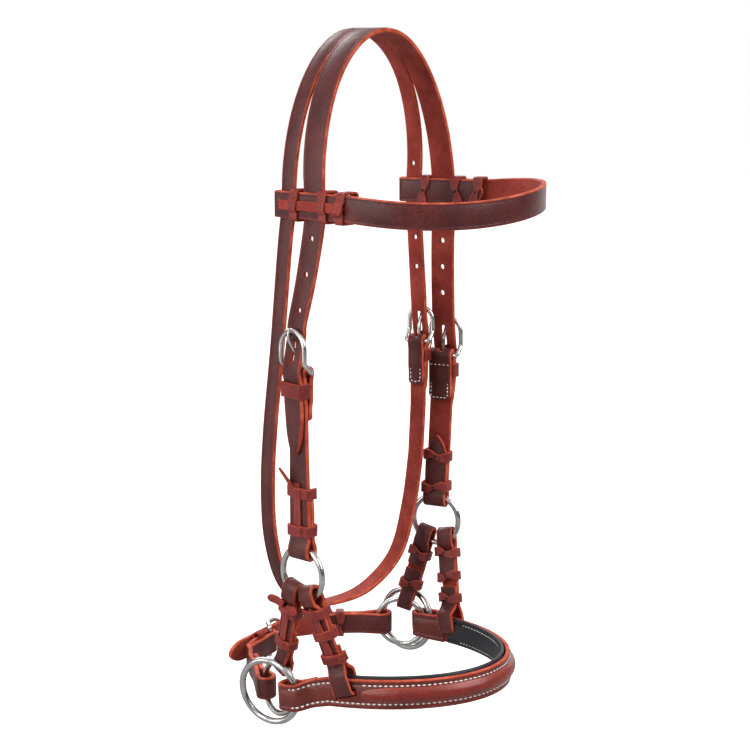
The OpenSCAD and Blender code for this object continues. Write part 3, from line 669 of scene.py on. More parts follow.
def headpiece():
    front = thin(both_ways(*[smooth(arch(FRONT_Y0, -4.9, 0) + front_low(s)) for s in (0, 1)]))
    holes = [cutter(frame_at([90, front_y(s, z), z]), punch(HOLE_D), mirror=s == 0)
             for s, z in ((0, -143.5), (0, -169), (0, -194.5), (1, -160), (1, -181), (1, -202))]
    holes += [tongue_hole(cheek_bar(s), mirror=s == 0) for s in (0, 1)]
    Piece().sweep(front, tapered(front, CHEEK_W, tip=36, start=36), T, creases=creased(CHEEK_W)).object(
        "headpiece_front", "head_straps", STRAP, ["headpiece"], "strap_leather", holes)
    rear = smooth(arch(REAR_Y0, 14 - REAR_Y0, 3.5)) + [place_w([82, 14.4, -119.5], RING_TOE, 0, 0)]
    Piece().sweep(both_ways(rear, rear), THROAT_W, T, creases=creased(THROAT_W, 2.0)).object(
        "headpiece_rear", "head_straps", STRAP, slot="strap_leather",
        cuts=[cutter(frame_at([80, 14.2, -100]), punch(HOLE_D - 0.5))])
    middle = [[HEAD_HALF_W * sin(a), REAR_Y0 - THROAT_W / 2, -ARCH_H + (ARCH_H + T / 2) * cos(a), 0, 1, 0]
              for a in np.linspace(-33, 33, 25)]
    Piece().sweep(middle, 5, T - 0.3, r=0.3).object("headpiece_poll", "head_straps", STRAP,
                                                    slot="strap_leather")


# ---------- browband ----------
BROW_GAP = T / 2 + 0.45
BROW_PLY = BROW_GAP + T / 2
BROW_Z = BROW_TOP - BROW_W / 2


def brow_mid(y):
    return HEAD_HALF_W - BROW_IN * (y + 11.3) / 25.3


def up_w(x, y):
    return np.array([x, y, BROW_Z, 0, 0, 1.0])


def brow_side():
    inner = smooth([up_w(brow_mid(y) - BROW_PLY, y) for y in (-46, -20, 16)])
    fold = [up_w(*p) for p in arc([brow_mid(20.6), 20.6], BROW_PLY, -170, -370)]
    outer = smooth([up_w(brow_mid(y) + BROW_PLY, y) for y in (16, 0, -20, -34)])
    return inner + fold + outer


def browband():
    a0 = brow_mid(-46.5) + BROW_PLY
    loop = [np.array([a0 * sin(a), -46.5 - BROW_DEPTH * cos(a), BROW_Z + 4 * sin(2 * a), 0, 0, 1])
            for a in np.linspace(90, -90, 73)]
    P = thin(brow_side() + loop + other_side(brow_side()))
    Piece().sweep(P, tapered(P, BROW_W, tip=9, start=9), T, grain=-1, creases=creased(BROW_W)).object(
        "browband_leather", "head_straps", STRAP, ["browband"], "strap_leather")


# ---------- lacing ----------
def band_loop(lo, hi, half, R, cut, n):
    """A closed outline (outwards, across) with corners of radius R, less cut degrees at each end."""
    x0, x1, y0, y1 = lo + R, hi - R, -half + R, half - R
    loop = []
    for start, x, y, side in ((0, x1, y1, [(hi, v) for v in np.linspace(y0, y1, n)]),
                              (90, x0, y1, [(v, half) for v in np.linspace(x1, x0, 4)]),
                              (180, x0, y0, [(lo, v) for v in np.linspace(y1, y0, n)]),
                              (270, x1, y0, [(v, -half) for v in np.linspace(x0, x1, 4)])):
        loop += side + [tuple(p) for p in arc([x, y], R, start + cut, start + 90 - cut, 4)]
    return loop


def wrap(piece, M, a, b, h, bump=True, slant=0.0):
    """A thong round a pair of plies: over the lengthwise strip outside, through itself inside.

    M holds the local axes: outwards, across, along. 2a by 2b is the outside of the plies."""
    A, B = a + LACE_T / 2, b + LACE_T / 2
    P, widths = [], []
    for x, y in band_loop(-A, A, B, 2.2, 12, 15):
        z, w = slant * y, h
        if x > A - 0.5 and bump:
            x += LACE_T * 0.95 * clamp((4.8 - abs(y)) / 1.6)
        if x < -A + 0.5:
            near = clamp(abs(y) / (0.62 * B))
            w = h * (0.42 + 0.58 * near)
            x -= 0.5 * (1 - near)
            z += 1.2 * sin(180 * y / B) * (1 if slant >= 0 else -1)
        P.append(local(M, x, y, z, M[:3, 2]))
        widths.append(w)
    piece.sweep(P, widths, LACE_T, r=0.5, closed=True)
    # The near-black bead in hole_shade (material 3) is painted shade in the eye where the thong runs through
    # itself.
    piece.bead(local(M, -A - LACE_T / 2 - 0.35, 0, 0), M[:3, 1] * 0.5 + M[:3, 2], M[:3, 0] * -1, 2.3, 1.0,
               mat=3, flat=0.5)


def tail(piece, M, points, w, pointed=True):
    """The loose end of a thong: places in the local axes of M, with shares of its y and z axes."""
    P = thin(smooth([local(M, x, y, z, M[:3, 1] * wy + M[:3, 2] * wz) for x, y, z, wy, wz in points], 6))
    piece.sweep(P, tapered(P, w, tip=w * 0.7, pointed=pointed), LACE_T, r=0.5)


def browband_lace(s):
    p = Piece(s == 0)
    a = BROW_PLY + T / 2 + 0.2

    def at(y):
        return level_frame([brow_mid(y), y, BROW_Z], RING_TOE)

    for y, slant in ((3, 0.04), (-24.5, -0.05), (-41, 0.12)):
        wrap(p, at(y), a, BROW_W / 2 + 0.3, 7.5, slant=slant)
    strip = [local(at(y), a + LACE_T / 2, 0, 0, (0, 0, 1)) for y in np.linspace(17, -44, 40)]
    p.sweep(strip, tapered(strip, 7.0, tip=5, pointed=True), LACE_T, r=0.5)
    tail(p, at(-41), [(a + LACE_T * 2.3, -5, -1.5, 0.6, 0.8), (a + LACE_T * 2.6, -2.5, 1.0, 0.6, 0.8),
                      (a + LACE_T * 2.3, 1.5, 3.6, 0.6, 0.8)], 6.0)
    name = SIDES[s] + "_browband_lace"
    p.object(name + "_thong", "head_straps", LACES, [name], "lace_leather")


# ---------- cheekpieces ----------
BAR_FOLD = BUCKLE_WIRE / 2 + 0.3 + T / 2
RING_SAG = UPPER_R - math.sqrt(UPPER_R ** 2 - CHEEK_W ** 2 / 4)
RING_FOLD = UPPER_WIRE / 2 + 0.4 + T / 2
CHEEK_LOW = UPPER_C[2] + UPPER_R - RING_SAG - 0.4
TAB = 37
TAB_STITCH = {"pitch": 3.1, "length": 2.2, "r": 0.42}
LACE_Z = [[-327, -355.5], [-335, -361]]


def cheek_path(s):
    """Up behind, over the buckle's bar, down in front, round the ring and up again behind."""
    b = BAR_Z[s]

    def at(n, z):
        return cheek_pt(s, n, z)

    return thin(
        through(at, ((-PLY, b - TAB), (-PLY, b - 26), (-SEWN_PLY, b - 19), (-SEWN_PLY, b - 7)))
        + [at(*p) for p in arc([0, b], BAR_FOLD, 190, -10)]
        + through(at, ((SEWN_PLY, b - 7), (SEWN_PLY, b - 19), (PLY, b - 28), (PLY, b - 60), (PLY, -320),
                       (PLY, -345), (PLY, CHEEK_LOW + 12), (RING_FOLD, CHEEK_LOW + 3.5)))
        + [at(*p) for p in arc([0, CHEEK_LOW], RING_FOLD, 10, -190)]
        + through(at, ((-RING_FOLD, CHEEK_LOW + 3.5), (-PLY, CHEEK_LOW + 12), (-PLY, -345), (-PLY, -333),
                       (-PLY, -319))))


def u_stitch(points, corner=2.5):
    """A line down one side, across and up the other, with rounded corners."""
    a, b, c, d = [np.asarray(p, float) for p in points]
    line = [a]
    for p, q, r in ((a, b, c), (b, c, d)):
        u, v = unit(p - q), unit(r - q)
        line += [q + u * corner, q + (u + v) * corner * 0.29, q + v * corner]
    return line + [d]


def across(p, v):
    """The place at v across a strap, from a point of its path."""
    return p[:3] + p[3:] * v


def tab_stitches(piece, at, w, top, low, n, out):
    """U of stitches on a sewn tab: at(n, z) is a point of its path, out the direction it faces."""
    v = w / 2 - 2.3
    line = u_stitch([across(at(n, z), x) for x, z in ((-v, top), (-v, low), (v, low), (v, top))])
    piece.stitches(line, [out] * len(line), **TAB_STITCH)


def cheekpiece(s):
    P, bar, b = cheek_path(s), cheek_bar(s), BAR_Z[s]
    name = SIDES[s] + "_cheekpiece"
    Piece(s == 0).sweep(P, tapered(P, CHEEK_W, tip=19, start=4, pointed=True), T,
                               creases=creased(CHEEK_W)).object(
        name + "_leather", "head_straps", STRAP, [name], "strap_leather",
        [cutter(bar, TONGUE_SLOT, mirror=s == 0)])

    def at(n, z):
        return cheek_pt(s, n, z)

    out, seams = bar[:3, 0], Piece(s == 0)
    tab_stitches(seams, at, CHEEK_W, b - 9, b - 34.5, -PLY - T / 2 - 0.15, -out)
    tab_stitches(seams, at, CHEEK_W, b - 21, b - 34.5, PLY + T / 2 + 0.1, out)
    row = [across(at(-SEWN_PLY - T / 2 - 0.05, b - 7.5), v) for v in (-9, 0, 9)]
    seams.stitches(row, [-out] * len(row), **TAB_STITCH)
    seams.object(name + "_stitches", "head_straps", [WHITE])


def cheek_lace(s):
    p = Piece(s == 0)
    a = PLY + T / 2 + 0.2

    def flare(z):
        return max(0, CHEEK_LOW + 16 - z) * 0.3

    for z, slant in zip(LACE_Z[s], (0.03, -0.04)):
        wrap(p, cheek_frame(s, z), a + flare(z), CHEEK_W / 2 + 0.3, 8, slant=slant)
    z0, z1 = LACE_Z[s]
    strip = [cheek_pt(s, a + flare(z) + LACE_T / 2, z) for z in np.linspace(z0 + 7, z1 - 3, 24)]
    p.sweep(strip, 6.4, LACE_T, r=0.5)
    M = cheek_frame(s, z0)
    if s == 0:
        tail(p, M, [(a + 1, 3, 1, 0.8, 0.5), (a + 2.6, 8, 8, 0.8, 0.55), (a + 5.5, 14, 17, 0.8, 0.6)], 5.5)
    else:
        tail(p, M, [(a + 1, 0, 2, 1, 0), (a + 2.2, 0.5, 7, 1, 0), (a + 3.0, 1.5, 11, 1, 0)], 6)
    name = SIDES[s] + "_cheek_lace"
    p.object(name + "_thong", "head_straps", LACES, [name], "lace_leather")


KEEPER_TOP = -7.2  # from the buckle's bar


def keeper(name, body, M, w, h, n_out, mirror=False):
    """A sewn-in loop: thin between the plies, full thickness outside."""
    lo = 0.3 - SEWN_PLY + T / 2 + 0.55
    P, thick = [], []
    for x, y in band_loop(lo, n_out + 0.9, w / 2 + 1.2, 1.6, 15, 9):
        P.append(local(M, x, y, KEEPER_TOP - h / 2, M[:3, 2]))
        thick.append(1.1 + 0.6 * clamp((x - lo - 0.6) / 2))
    Piece(mirror).sweep(P, h, thick, r=0.45, closed=True, creases=creased(h, 1.6, 0.12, 0.3)).object(
        name + "_loop", body, LACES[:3], [name], "lace_leather")


# ---------- metal ----------
def tube(name, body, points, r, material, slot, mirror, radii=None):
    """Round wire along a closed line, in millimetres in the row frame."""
    curve = bpy.data.curves.new(name + "_curve", "CURVE")
    curve.dimensions = "3D"
    curve.bevel_depth = r * MM
    curve.bevel_resolution = 7
    spline = curve.splines.new("POLY")
    spline.points.add(len(points) - 1)
    for i, (q, p) in enumerate(zip(spline.points, points)):
        q.co = ((-p[0] if mirror else p[0]) * MM, p[1] * MM, p[2] * MM, 1)
        q.radius = radii[i] if radii else 1.0
    spline.use_cyclic_u = True
    line = add(name + "_curve", curve)
    mesh = evaluated(line)
    bpy.data.objects.remove(line)
    mesh.name = name + "_wire"
    mesh.materials.clear()
    mesh.materials.append(material)
    edit(mesh, lambda bm: bmesh.ops.remove_doubles(bm, verts=bm.verts, dist=1e-6))
    mesh.shade_smooth()
    attach(add(name + "_wire", mesh), body, [name], slot)


def jaw_c(s):
    return [JAW_X - sin(JAW_TOE) * UPPER_R, JAW_FRONT[s] + cos(JAW_TOE) * UPPER_R, SIDE_Z[s]]


def rein_c(s):
    return [REIN_X - sin(REIN_TOE) * REIN_R, REIN_FRONT[s] + cos(REIN_TOE) * REIN_R, SIDE_Z[s]]


RING_POINTS, WELD_AT, WELD_HALF, WELD_SWELL = 144, 205, 3.2, 0.045


def ring(name, c, r, wire, toe, tilt, mirror):
    """A welded ring: round wire with a slightly thicker weld at one place."""
    rear = np.array([-sin(toe), cos(toe), 0])
    out = np.array([cos(toe) * cos(tilt), sin(toe) * cos(tilt), sin(tilt)])
    up = np.cross(out, rear)
    pts, radii = [], []
    for k in range(RING_POINTS):
        t = 360 * k / RING_POINTS
        pts.append(np.array(c) + r * (cos(t) * rear + sin(t) * up))
        radii.append(1 + WELD_SWELL * math.exp(-((t - WELD_AT) / WELD_HALF) ** 2))
    tube(name, name + "_body", pts, wire / 2, STEEL, "stainless", mirror, radii)


def rings():
    for s in (0, 1):
        for kind, *shape in (("upper", UPPER_C, UPPER_R, UPPER_WIRE, RING_TOE, 0),
                             ("jaw", jaw_c(s), UPPER_R, UPPER_WIRE, JAW_TOE, JAW_TILT),
                             ("rein", rein_c(s), REIN_R, REIN_WIRE, REIN_TOE, REIN_TILT)):
            ring(f"{SIDES[s]}_{kind}_ring", *shape, s == 0)


def rounded(points, r, n=6):
    """A closed line with its corners rounded off."""
    out = []
    for i, q in enumerate(points):
        p, x = np.asarray(points[i - 1], float), np.asarray(points[(i + 1) % len(points)], float)
        q = np.asarray(q, float)
        a = q + unit(p - q) * min(r, np.linalg.norm(p - q) / 2.2)
        b = q + unit(x - q) * min(r, np.linalg.norm(x - q) / 2.2)
        for k in range(n + 1):
            t = k / n
            out.append((1 - t) ** 2 * a + 2 * t * (1 - t) * q + t * t * b)
    return out


BUCKLE_OUT = 7.0


def buckle(name, body, M, leg, rise, mirror=False):
    """A half-round frame on a straight bar, bent outwards above it."""
    legs = [(0, -leg, 0), (0, leg, 0), (BUCKLE_OUT, leg, 7)]
    top = [(BUCKLE_OUT, leg * cos(t), rise - leg + leg * sin(t)) for t in range(0, 181, 12)]
    line = rounded(legs + top + [(BUCKLE_OUT, -leg, 7)], 2.6)
    tube(name, body, [local(M, *p) for p in line], BUCKLE_WIRE / 2, NICKEL, "nickel", mirror)


def tongue(name, body, M, rise, mirror=False):
    """A pin curled round the bar, and up over the top of the frame."""
    r = BUCKLE_WIRE / 2
    curl_r, reach = r + 0.85, BUCKLE_OUT + r + 1.5
    pin = smooth([[2.7, 1.2], [3.0, 6], [3.6, 12], [6.0, 17], [8.6, 21.5], [reach + 0.4, rise - 5],
                  [reach + 0.2, rise + 1.2]], 8)
    P = thin([local(M, x, 0, z, M[:3, 1]) for x, z in arc([0, 0], curl_r, -265, 15, 26) + pin])
    s = lengths(np.array(P)[:, :3])
    turn = curl_r * math.radians(280)
    widths = [3.4 - 0.8 * clamp((x - turn) / 6) - 0.7 * clamp((x - s[-1] + 5) / 5) for x in s]
    thick = [1.5 + 0.7 * clamp((x - turn) / 6) - 0.6 * clamp((x - s[-1] + 4) / 4) for x in s]
    Piece(mirror).sweep(P, widths, thick, r=1.0).object(
        name + "_pin", body, [NICKEL] * 3, [name], "nickel")


# ---------- links ----------
NOSE_MID_W, NOSE_MID_R = NOSE_HALF_W - T / 2, NOSE_REACH - T / 2
LINK_FOLD = UPPER_WIRE / 2 + 1.4 + LINK_T / 2
FOOT_FOLD = UPPER_WIRE / 2 + 0.6 + LINK_T / 2
NOSE_FOLD = (T + PAD_T) / 2 + 1.5 + LINK_T / 2
LINK_RISE, FOOT_DROP, NOSE_DROP, RING_OFF = 4.9, 1.9, 4.2, 4.5
LINK_PLY = LINK_T / 2 + 0.35
STACK_IN = (PAD_T + 0.1) / 2


def nose_at(y):
    return NOSE_MID_W * math.sqrt(1 - ((y - NOSE_Y) / NOSE_MID_R) ** 2)


def nose_turn(y):
    return math.degrees(math.atan2((y - NOSE_Y) / NOSE_MID_R ** 2, nose_at(y) / NOSE_MID_W ** 2))


class Link:
    """One link: from the upper ring to the noseband slot (front) or to the jaw ring (rear)."""

    def __init__(self, s, front):
        self.s, self.front = s, front
        f = -30 if front else 30
        self.top = np.array([UPPER_C[0] - sin(RING_TOE) * UPPER_R * sin(f),
                             UPPER_C[1] + UPPER_R * sin(f), UPPER_C[2] - UPPER_R * cos(f)])
        if front:
            y = SLOT_Y[s]
            self.turn = nose_turn(y)
            self.end = np.array([nose_at(y) - STACK_IN * cos(self.turn), y - STACK_IN * sin(self.turn),
                                 SLOT_Z])
        else:
            up = math.sqrt(UPPER_R ** 2 - RING_OFF ** 2)
            self.turn = JAW_TOE
            self.end = np.array(place(jaw_c(s), JAW_TOE, -up * sin(JAW_TILT), -RING_OFF,
                                      up * cos(JAW_TILT)))
        self.length = np.linalg.norm(self.end - self.top)
        self.u = unit(self.end - self.top)

    def axes(self, d):
        a = RING_TOE + (self.turn - RING_TOE) * clamp(d / self.length)
        w0 = np.array([-sin(a), cos(a), 0])
        w = unit(w0 - (w0 @ self.u) * self.u)
        return np.cross(w, -self.u), w, self.top + d * self.u

    def pt(self, n, d):
        out, w, c = self.axes(d)
        return np.concatenate([c + n * out, w])

    def frame(self, d):
        out, w, c = self.axes(d)
        return matrix(out, w, -self.u, c)

    def width(self, d):
        foot = 0 if self.front else (LINK_W - 12) * clamp((d - self.length + 16) / 8)
        return LINK_W - 2 * clamp((9 - d) / 8) - foot

    def path(self):
        L, front = self.length, self.front
        f = NOSE_FOLD if front else FOOT_FOLD
        e = L - NOSE_DROP if front else L + FOOT_DROP
        drop = NOSE_DROP if front else FOOT_FOLD
        meet, wide = (24, 11.3) if front else (12, 3 + FOOT_DROP)
        k = 0.0
        if front:
            D = self.top - self.end
            k = (D[0] * cos(self.turn) + D[1] * sin(self.turn)) / np.linalg.norm(D) * (L - e + wide)
        p = LINK_PLY
        return (smooth([[-p, L * 0.42], [-p, L * 0.36], [-p, 11], [-LINK_FOLD - 0.1, 2.5]])
                + arc([0, -LINK_RISE], LINK_FOLD, -180, 0)
                + smooth([[LINK_FOLD + 0.1, 2.5], [p, 11], [p, L * 0.5], [p, L - meet], [f - k, e - wide]])
                + [np.array([f * cos(t), e + drop * sin(t)]) for t in np.linspace(0, 180, 21)]
                + smooth([[-f - k, e - wide], [-p, L - meet], [-p, L * 0.5]]))


def link(s, front, at):
    L = Link(s, front)
    flat = thin([np.array([*p, 0.0]) for p in L.path()])
    P = [L.pt(p[0], p[1]) for p in flat]
    name = SIDES[s] + ("_front" if front else "_rear") + "_link"
    Piece(s == 0).sweep(P, [L.width(p[1]) for p in flat], LINK_T,
                               creases=creased(LINK_W, 2.0, 0.14, 0.4)).object(
        name + "_leather", "noseband_hanging", STRAP, [name], "strap_leather")
    a = LINK_PLY + LINK_T / 2 + 0.25

    def flare(d):
        return max(0, 12 - d) * 0.3

    p = Piece(s == 0)
    for i, d in enumerate(at):
        wrap(p, L.frame(d), a + flare(d - 3.5), LINK_W / 2 + 0.3, 7.3, slant=(0.08, -0.06, 0.05)[i])
    strip = [L.pt(a + flare(d) + LACE_T / 2, d) for d in np.linspace(at[0] - 4.5, at[-1] + 5, 30)]
    p.sweep(strip, tapered(strip, 6, tip=4, start=3, pointed=True), LACE_T, r=0.5)
    if s == 0 and not front:
        M = L.frame(at[0] - 7)
        tail(p, M, [(a + 3.4, 2, -1.5, 0, 1), (a + 4.2, 9, -0.5, 0.1, 1), (a + 4.8, 17, -2.5, 0.25, 1)],
             6.5, pointed=False)
        tail(p, M, [(a + 3.6, -3, -3.5, 0.2, 1), (a + 4.6, -8.5, -0.5, 0.35, 1),
                    (a + 5.0, -13.5, 3.5, 0.6, 1)], 7.5, pointed=False)
    p.object(name + "_thong", "noseband_hanging", LACES, [name + "_lace"], "lace_leather")


# ---------- noseband ----------
NOSE_Z = NOSE_TOP - NOSE_H / 2
FOLD_X, END_FOLD, END_DROP = END_X - 0.2, REIN_WIRE / 2 + WIRE_DX + 1.9 + T / 2, 4.7


def end_ramp(y):
    r = clamp((y + 20) / 30)
    return r * r * (3 - 2 * r)


def flat_nose(s, x, y):
    return np.array([x, y, NOSE_Z + NOSE_SLOPE * y + END_DZ[s] * end_ramp(y), 0, -NOSE_SLOPE, 1])


def nose_pt(n, a, dz=0.0):
    N = unit([NOSE_MID_R * cos(a), -NOSE_MID_W * sin(a)])
    x, y = NOSE_MID_W * cos(a) + n * N[0], NOSE_Y - NOSE_MID_R * sin(a) + n * N[1]
    return np.array([x, y, NOSE_Z + NOSE_SLOPE * y + dz, 0, -NOSE_SLOPE, 1])


def nose_outer(s):
    """The outer ply of a folded end, from its fold to the noseband's side."""
    y = JAW_FRONT[s]
    return smooth([flat_nose(s, FOLD_X + END_FOLD, y - 3), flat_nose(s, FOLD_X + END_FOLD - 0.3, y - 9),
                   flat_nose(s, nose_at(y - 18) + 1.7, y - 18), nose_pt(0, [14.5, 13.5][s])])


def nose_end(s):
    """A folded end: the inner ply, the fold round the two rings, the outer ply."""
    y = JAW_FRONT[s]
    inner = smooth([flat_nose(s, nose_at(y - 22) - 1.9, y - 22), flat_nose(s, FOLD_X - END_FOLD + 0.1, y - 9),
                    flat_nose(s, FOLD_X - END_FOLD, y - 3)])
    fold = [flat_nose(s, FOLD_X - END_FOLD * cos(t), y + 4 + END_DROP * sin(t)) for t in range(0, 181, 9)]
    return inner + fold + nose_outer(s)


NOSE_ANGLES = np.linspace(16.5, 163.5, 110)
SEAM = NOSE_H / 2 - 4.0
SEAM_STITCH = {"pitch": 4.0, "length": 3.0, "r": 0.62}
SEAM_SUNK = 0.25
ROLL_SPAN, ROLL_W, ROLL_T, ROLL_TIP = 63, 12.2, 1.2, 7
LINING_T, LINING_SEAM = PAD_T - 2.0, 7.6
LINING_STITCH = {"pitch": 3.6, "length": 2.3, "r": 0.36}
SLOT_HALF, SLOT_LOW, SLOT_HIGH = LINK_W / 2 + 1.2, -1.9, 4


def nose_line(end):
    """The noseband's path, with end(s) at both its ends."""
    return thin(end(1) + [nose_pt(0, a) for a in NOSE_ANGLES] + other_side(end(0)))


def nose_slots():
    """The slots for the front links' feet, in the noseband or its lining."""
    return [cutter(L.frame(L.length), block((-15, -SLOT_HALF, SLOT_LOW), (15, SLOT_HALF, SLOT_HIGH)),
                   mirror=L.s == 0) for L in (Link(0, True), Link(1, True))]


def near_slot(p):
    return any(abs(p[1] - SLOT_Y[s]) < 11 and p[0] * (1 if s else -1) > 0 for s in (0, 1))


def noseband():
    P = nose_line(nose_end)
    widths = [NOSE_H - 2 * end_ramp(p[1]) for p in P]
    Piece().sweep(P, widths, T, grain=-1, creases=((SEAM, 0.5, 0.8), (-SEAM, 0.5, 0.8))).object(
        "noseband_leather", "noseband_hanging", NOSE_STRAP, ["noseband"], "nose_leather", nose_slots())
    C, W, N = route(nose_line(nose_outer))
    seams = Piece()
    for v in (SEAM, -SEAM):
        seams.stitches(C + W * v - N * (T / 2 - SEAM_SUNK), -N, **SEAM_STITCH,
                       skip=near_slot if v > 0 else None)
    seams.object("noseband_stitches", "noseband_hanging", [WHITE])
    roll = [nose_pt(T / 2 + 0.4, a) for a in np.linspace(90 - ROLL_SPAN, 90 + ROLL_SPAN, 90)]
    ends = [clamp(min(i, len(roll) - 1 - i) / ROLL_TIP) for i in range(len(roll))]
    Piece().sweep(roll, [ROLL_W * (0.35 + 0.65 * e ** 0.5) for e in ends],
                  [ROLL_T * (0.25 + 0.75 * e ** 0.7) for e in ends], grain=-1, r=0.5, crown=2.9).object(
        "noseband_roll_leather", "noseband_hanging", [NOSE, NOSE, FLESH], ["noseband_roll"], "nose_leather")


def padding():
    P = [nose_pt(-T / 2 - PAD_T / 2 - 0.15, a, 1.5) for a in NOSE_ANGLES]
    pad = Piece().sweep(P, NOSE_H, LINING_T, r=1.3, mats=(0, 0, 0), crown=1.7,
                        creases=((LINING_SEAM, 1.1, 0.9), (-LINING_SEAM, 1.1, 0.9))).object(
        "noseband_lining", "noseband_hanging", [PAD], ["noseband_padding"], "padding", nose_slots())
    C, W, N = route(P)
    for v, row in ((LINING_SEAM, "top"), (-LINING_SEAM, "low")):
        Piece().stitches(C + W * v + N * (LINING_T / 2 + 0.2), N, **LINING_STITCH, skip=near_slot).object(
            "lining_stitches_" + row, "noseband_hanging", [WHITE])


# ---------- chin strap ----------
def flat_chin(x, y):
    return np.array([x, y, CHIN_BAR[2] + CHIN_LEAN * (x - CHIN_BAR[0]), 0, 0, 1.0])


def loop_pt(s, v, q):
    c = [JAW_X - 2 * sin(JAW_TOE) * UPPER_R, JAW_FRONT[s] + 2 * cos(JAW_TOE) * UPPER_R]
    return np.array([c[0] + v * cos(-56) - q * sin(-56), c[1] + v * sin(-56) + q * cos(-56)])


def chin_line(s, n=3):
    return smooth([loop_pt(s, -14, 0), [56, 69], [47, 79.5], [37, 87.5]], n)


def shift(P, n):
    out = []
    for i, p in enumerate(P):
        t = unit(P[min(i + 1, len(P) - 1)] - P[max(i - 1, 0)])
        out.append(p + n * np.array([t[1], -t[0]]))
    return out


def chin_side(s, n):
    M = chin_line(s, 6)
    loop = [loop_pt(s, p[0], p[1]) for p in arc([3.8, 0], 6, -95, 95)]
    back = list(reversed(shift(M, -PLY)[:2 * n + 1]))
    return (smooth(back[:-4] + [back[-1]], 2) + loop + smooth([shift(M, PLY)[0]] + shift(M, PLY)[4:], 2))


def chin_pt(n, u):
    return flat_chin(CHIN_BAR[0] + u * cos(CHIN_A) - n * sin(CHIN_A),
                     CHIN_BAR[1] - u * sin(CHIN_A) - n * cos(CHIN_A))


CHIN_M = np.array([[-sin(CHIN_A), 0, -cos(CHIN_A), CHIN_BAR[0]],
                   [-cos(CHIN_A), 0, sin(CHIN_A), CHIN_BAR[1]],
                   [0, -1, 0, CHIN_BAR[2]], [0, 0, 0, 1]])


def chin_strap():
    P = [flat_chin(*p) for p in chin_side(1, 7)]
    P = thin(P + through(chin_pt, ((2.5, -29), (2.8, -25), (5.3, -14), (8.1, 0), (9.5, 11), (11, 20),
                                   (12.5, 29), (14, 38))))
    Piece().sweep(P, tapered(P, CHIN_W, tip=15), T, creases=creased(CHIN_W)).object(
        "chin_long_strap_leather", "chin_strap", STRAP, ["chin_long_strap"], "nose_leather",
        [tongue_hole(CHIN_M)])
    Q = [flat_chin(-p[0], p[1]) for p in chin_side(0, 6)]
    Q += through(chin_pt, ((PLY, 30), (PLY, 26), (SEWN_PLY, 18), (SEWN_PLY, 7)))
    Q += [chin_pt(p[0], -p[1]) for p in arc([0, 0], BAR_FOLD, -10, 190)]
    Q += through(chin_pt, ((-SEWN_PLY, 7), (-SEWN_PLY, 17), (-PLY, 24), (-PLY, 32)))
    Piece().sweep(Q, CHIN_W, T, grain=-1, creases=creased(CHIN_W)).object(
        "chin_buckle_strap_leather", "chin_strap", STRAP, ["chin_buckle_strap"], "nose_leather",
        [cutter(CHIN_M, TONGUE_SLOT)])
    buckle("chin_buckle", "chin_strap", CHIN_M, CHIN_W / 2 + 3.9, 28)
    tongue("chin_tongue", "chin_tongue_body", CHIN_M, 28)
    keeper("chin_fixed_keeper", "chin_strap", CHIN_M, CHIN_W + 1.8, 9, SEWN_PLY + T / 2 + 0.25)
    line = chin_line(1)
    t = line[4] - line[2]
    M = level_frame(flat_chin(*line[3])[:3], math.degrees(math.atan2(t[1], t[0])) - 90)
    p = Piece()
    wrap(p, M, PLY + T / 2 + 1.0, CHIN_W / 2 + 0.6, 7, bump=False)
    p.object("chin_sliding_keeper_loop", "chin_sliding_keeper_body", LACES, ["chin_sliding_keeper"],
             "lace_leather")


# ---------- throatlatch ----------
def throat_l(n, z):
    return place_w(THROAT_BAR, THROAT_TOE, n, z)


def thr(x, y, z, wx):
    return np.array([x, y, z, wx, 1.0, 0])


def hinge_end(x, wx):
    """The rounded top of a throat strap, down to its hinge."""
    return [thr(x, HINGE_Y, HINGE_Z + THROAT_W / 2 * k, wx) for k in (0.98, 0.93, 0.85, 0.7, 0.5, 0.25)]


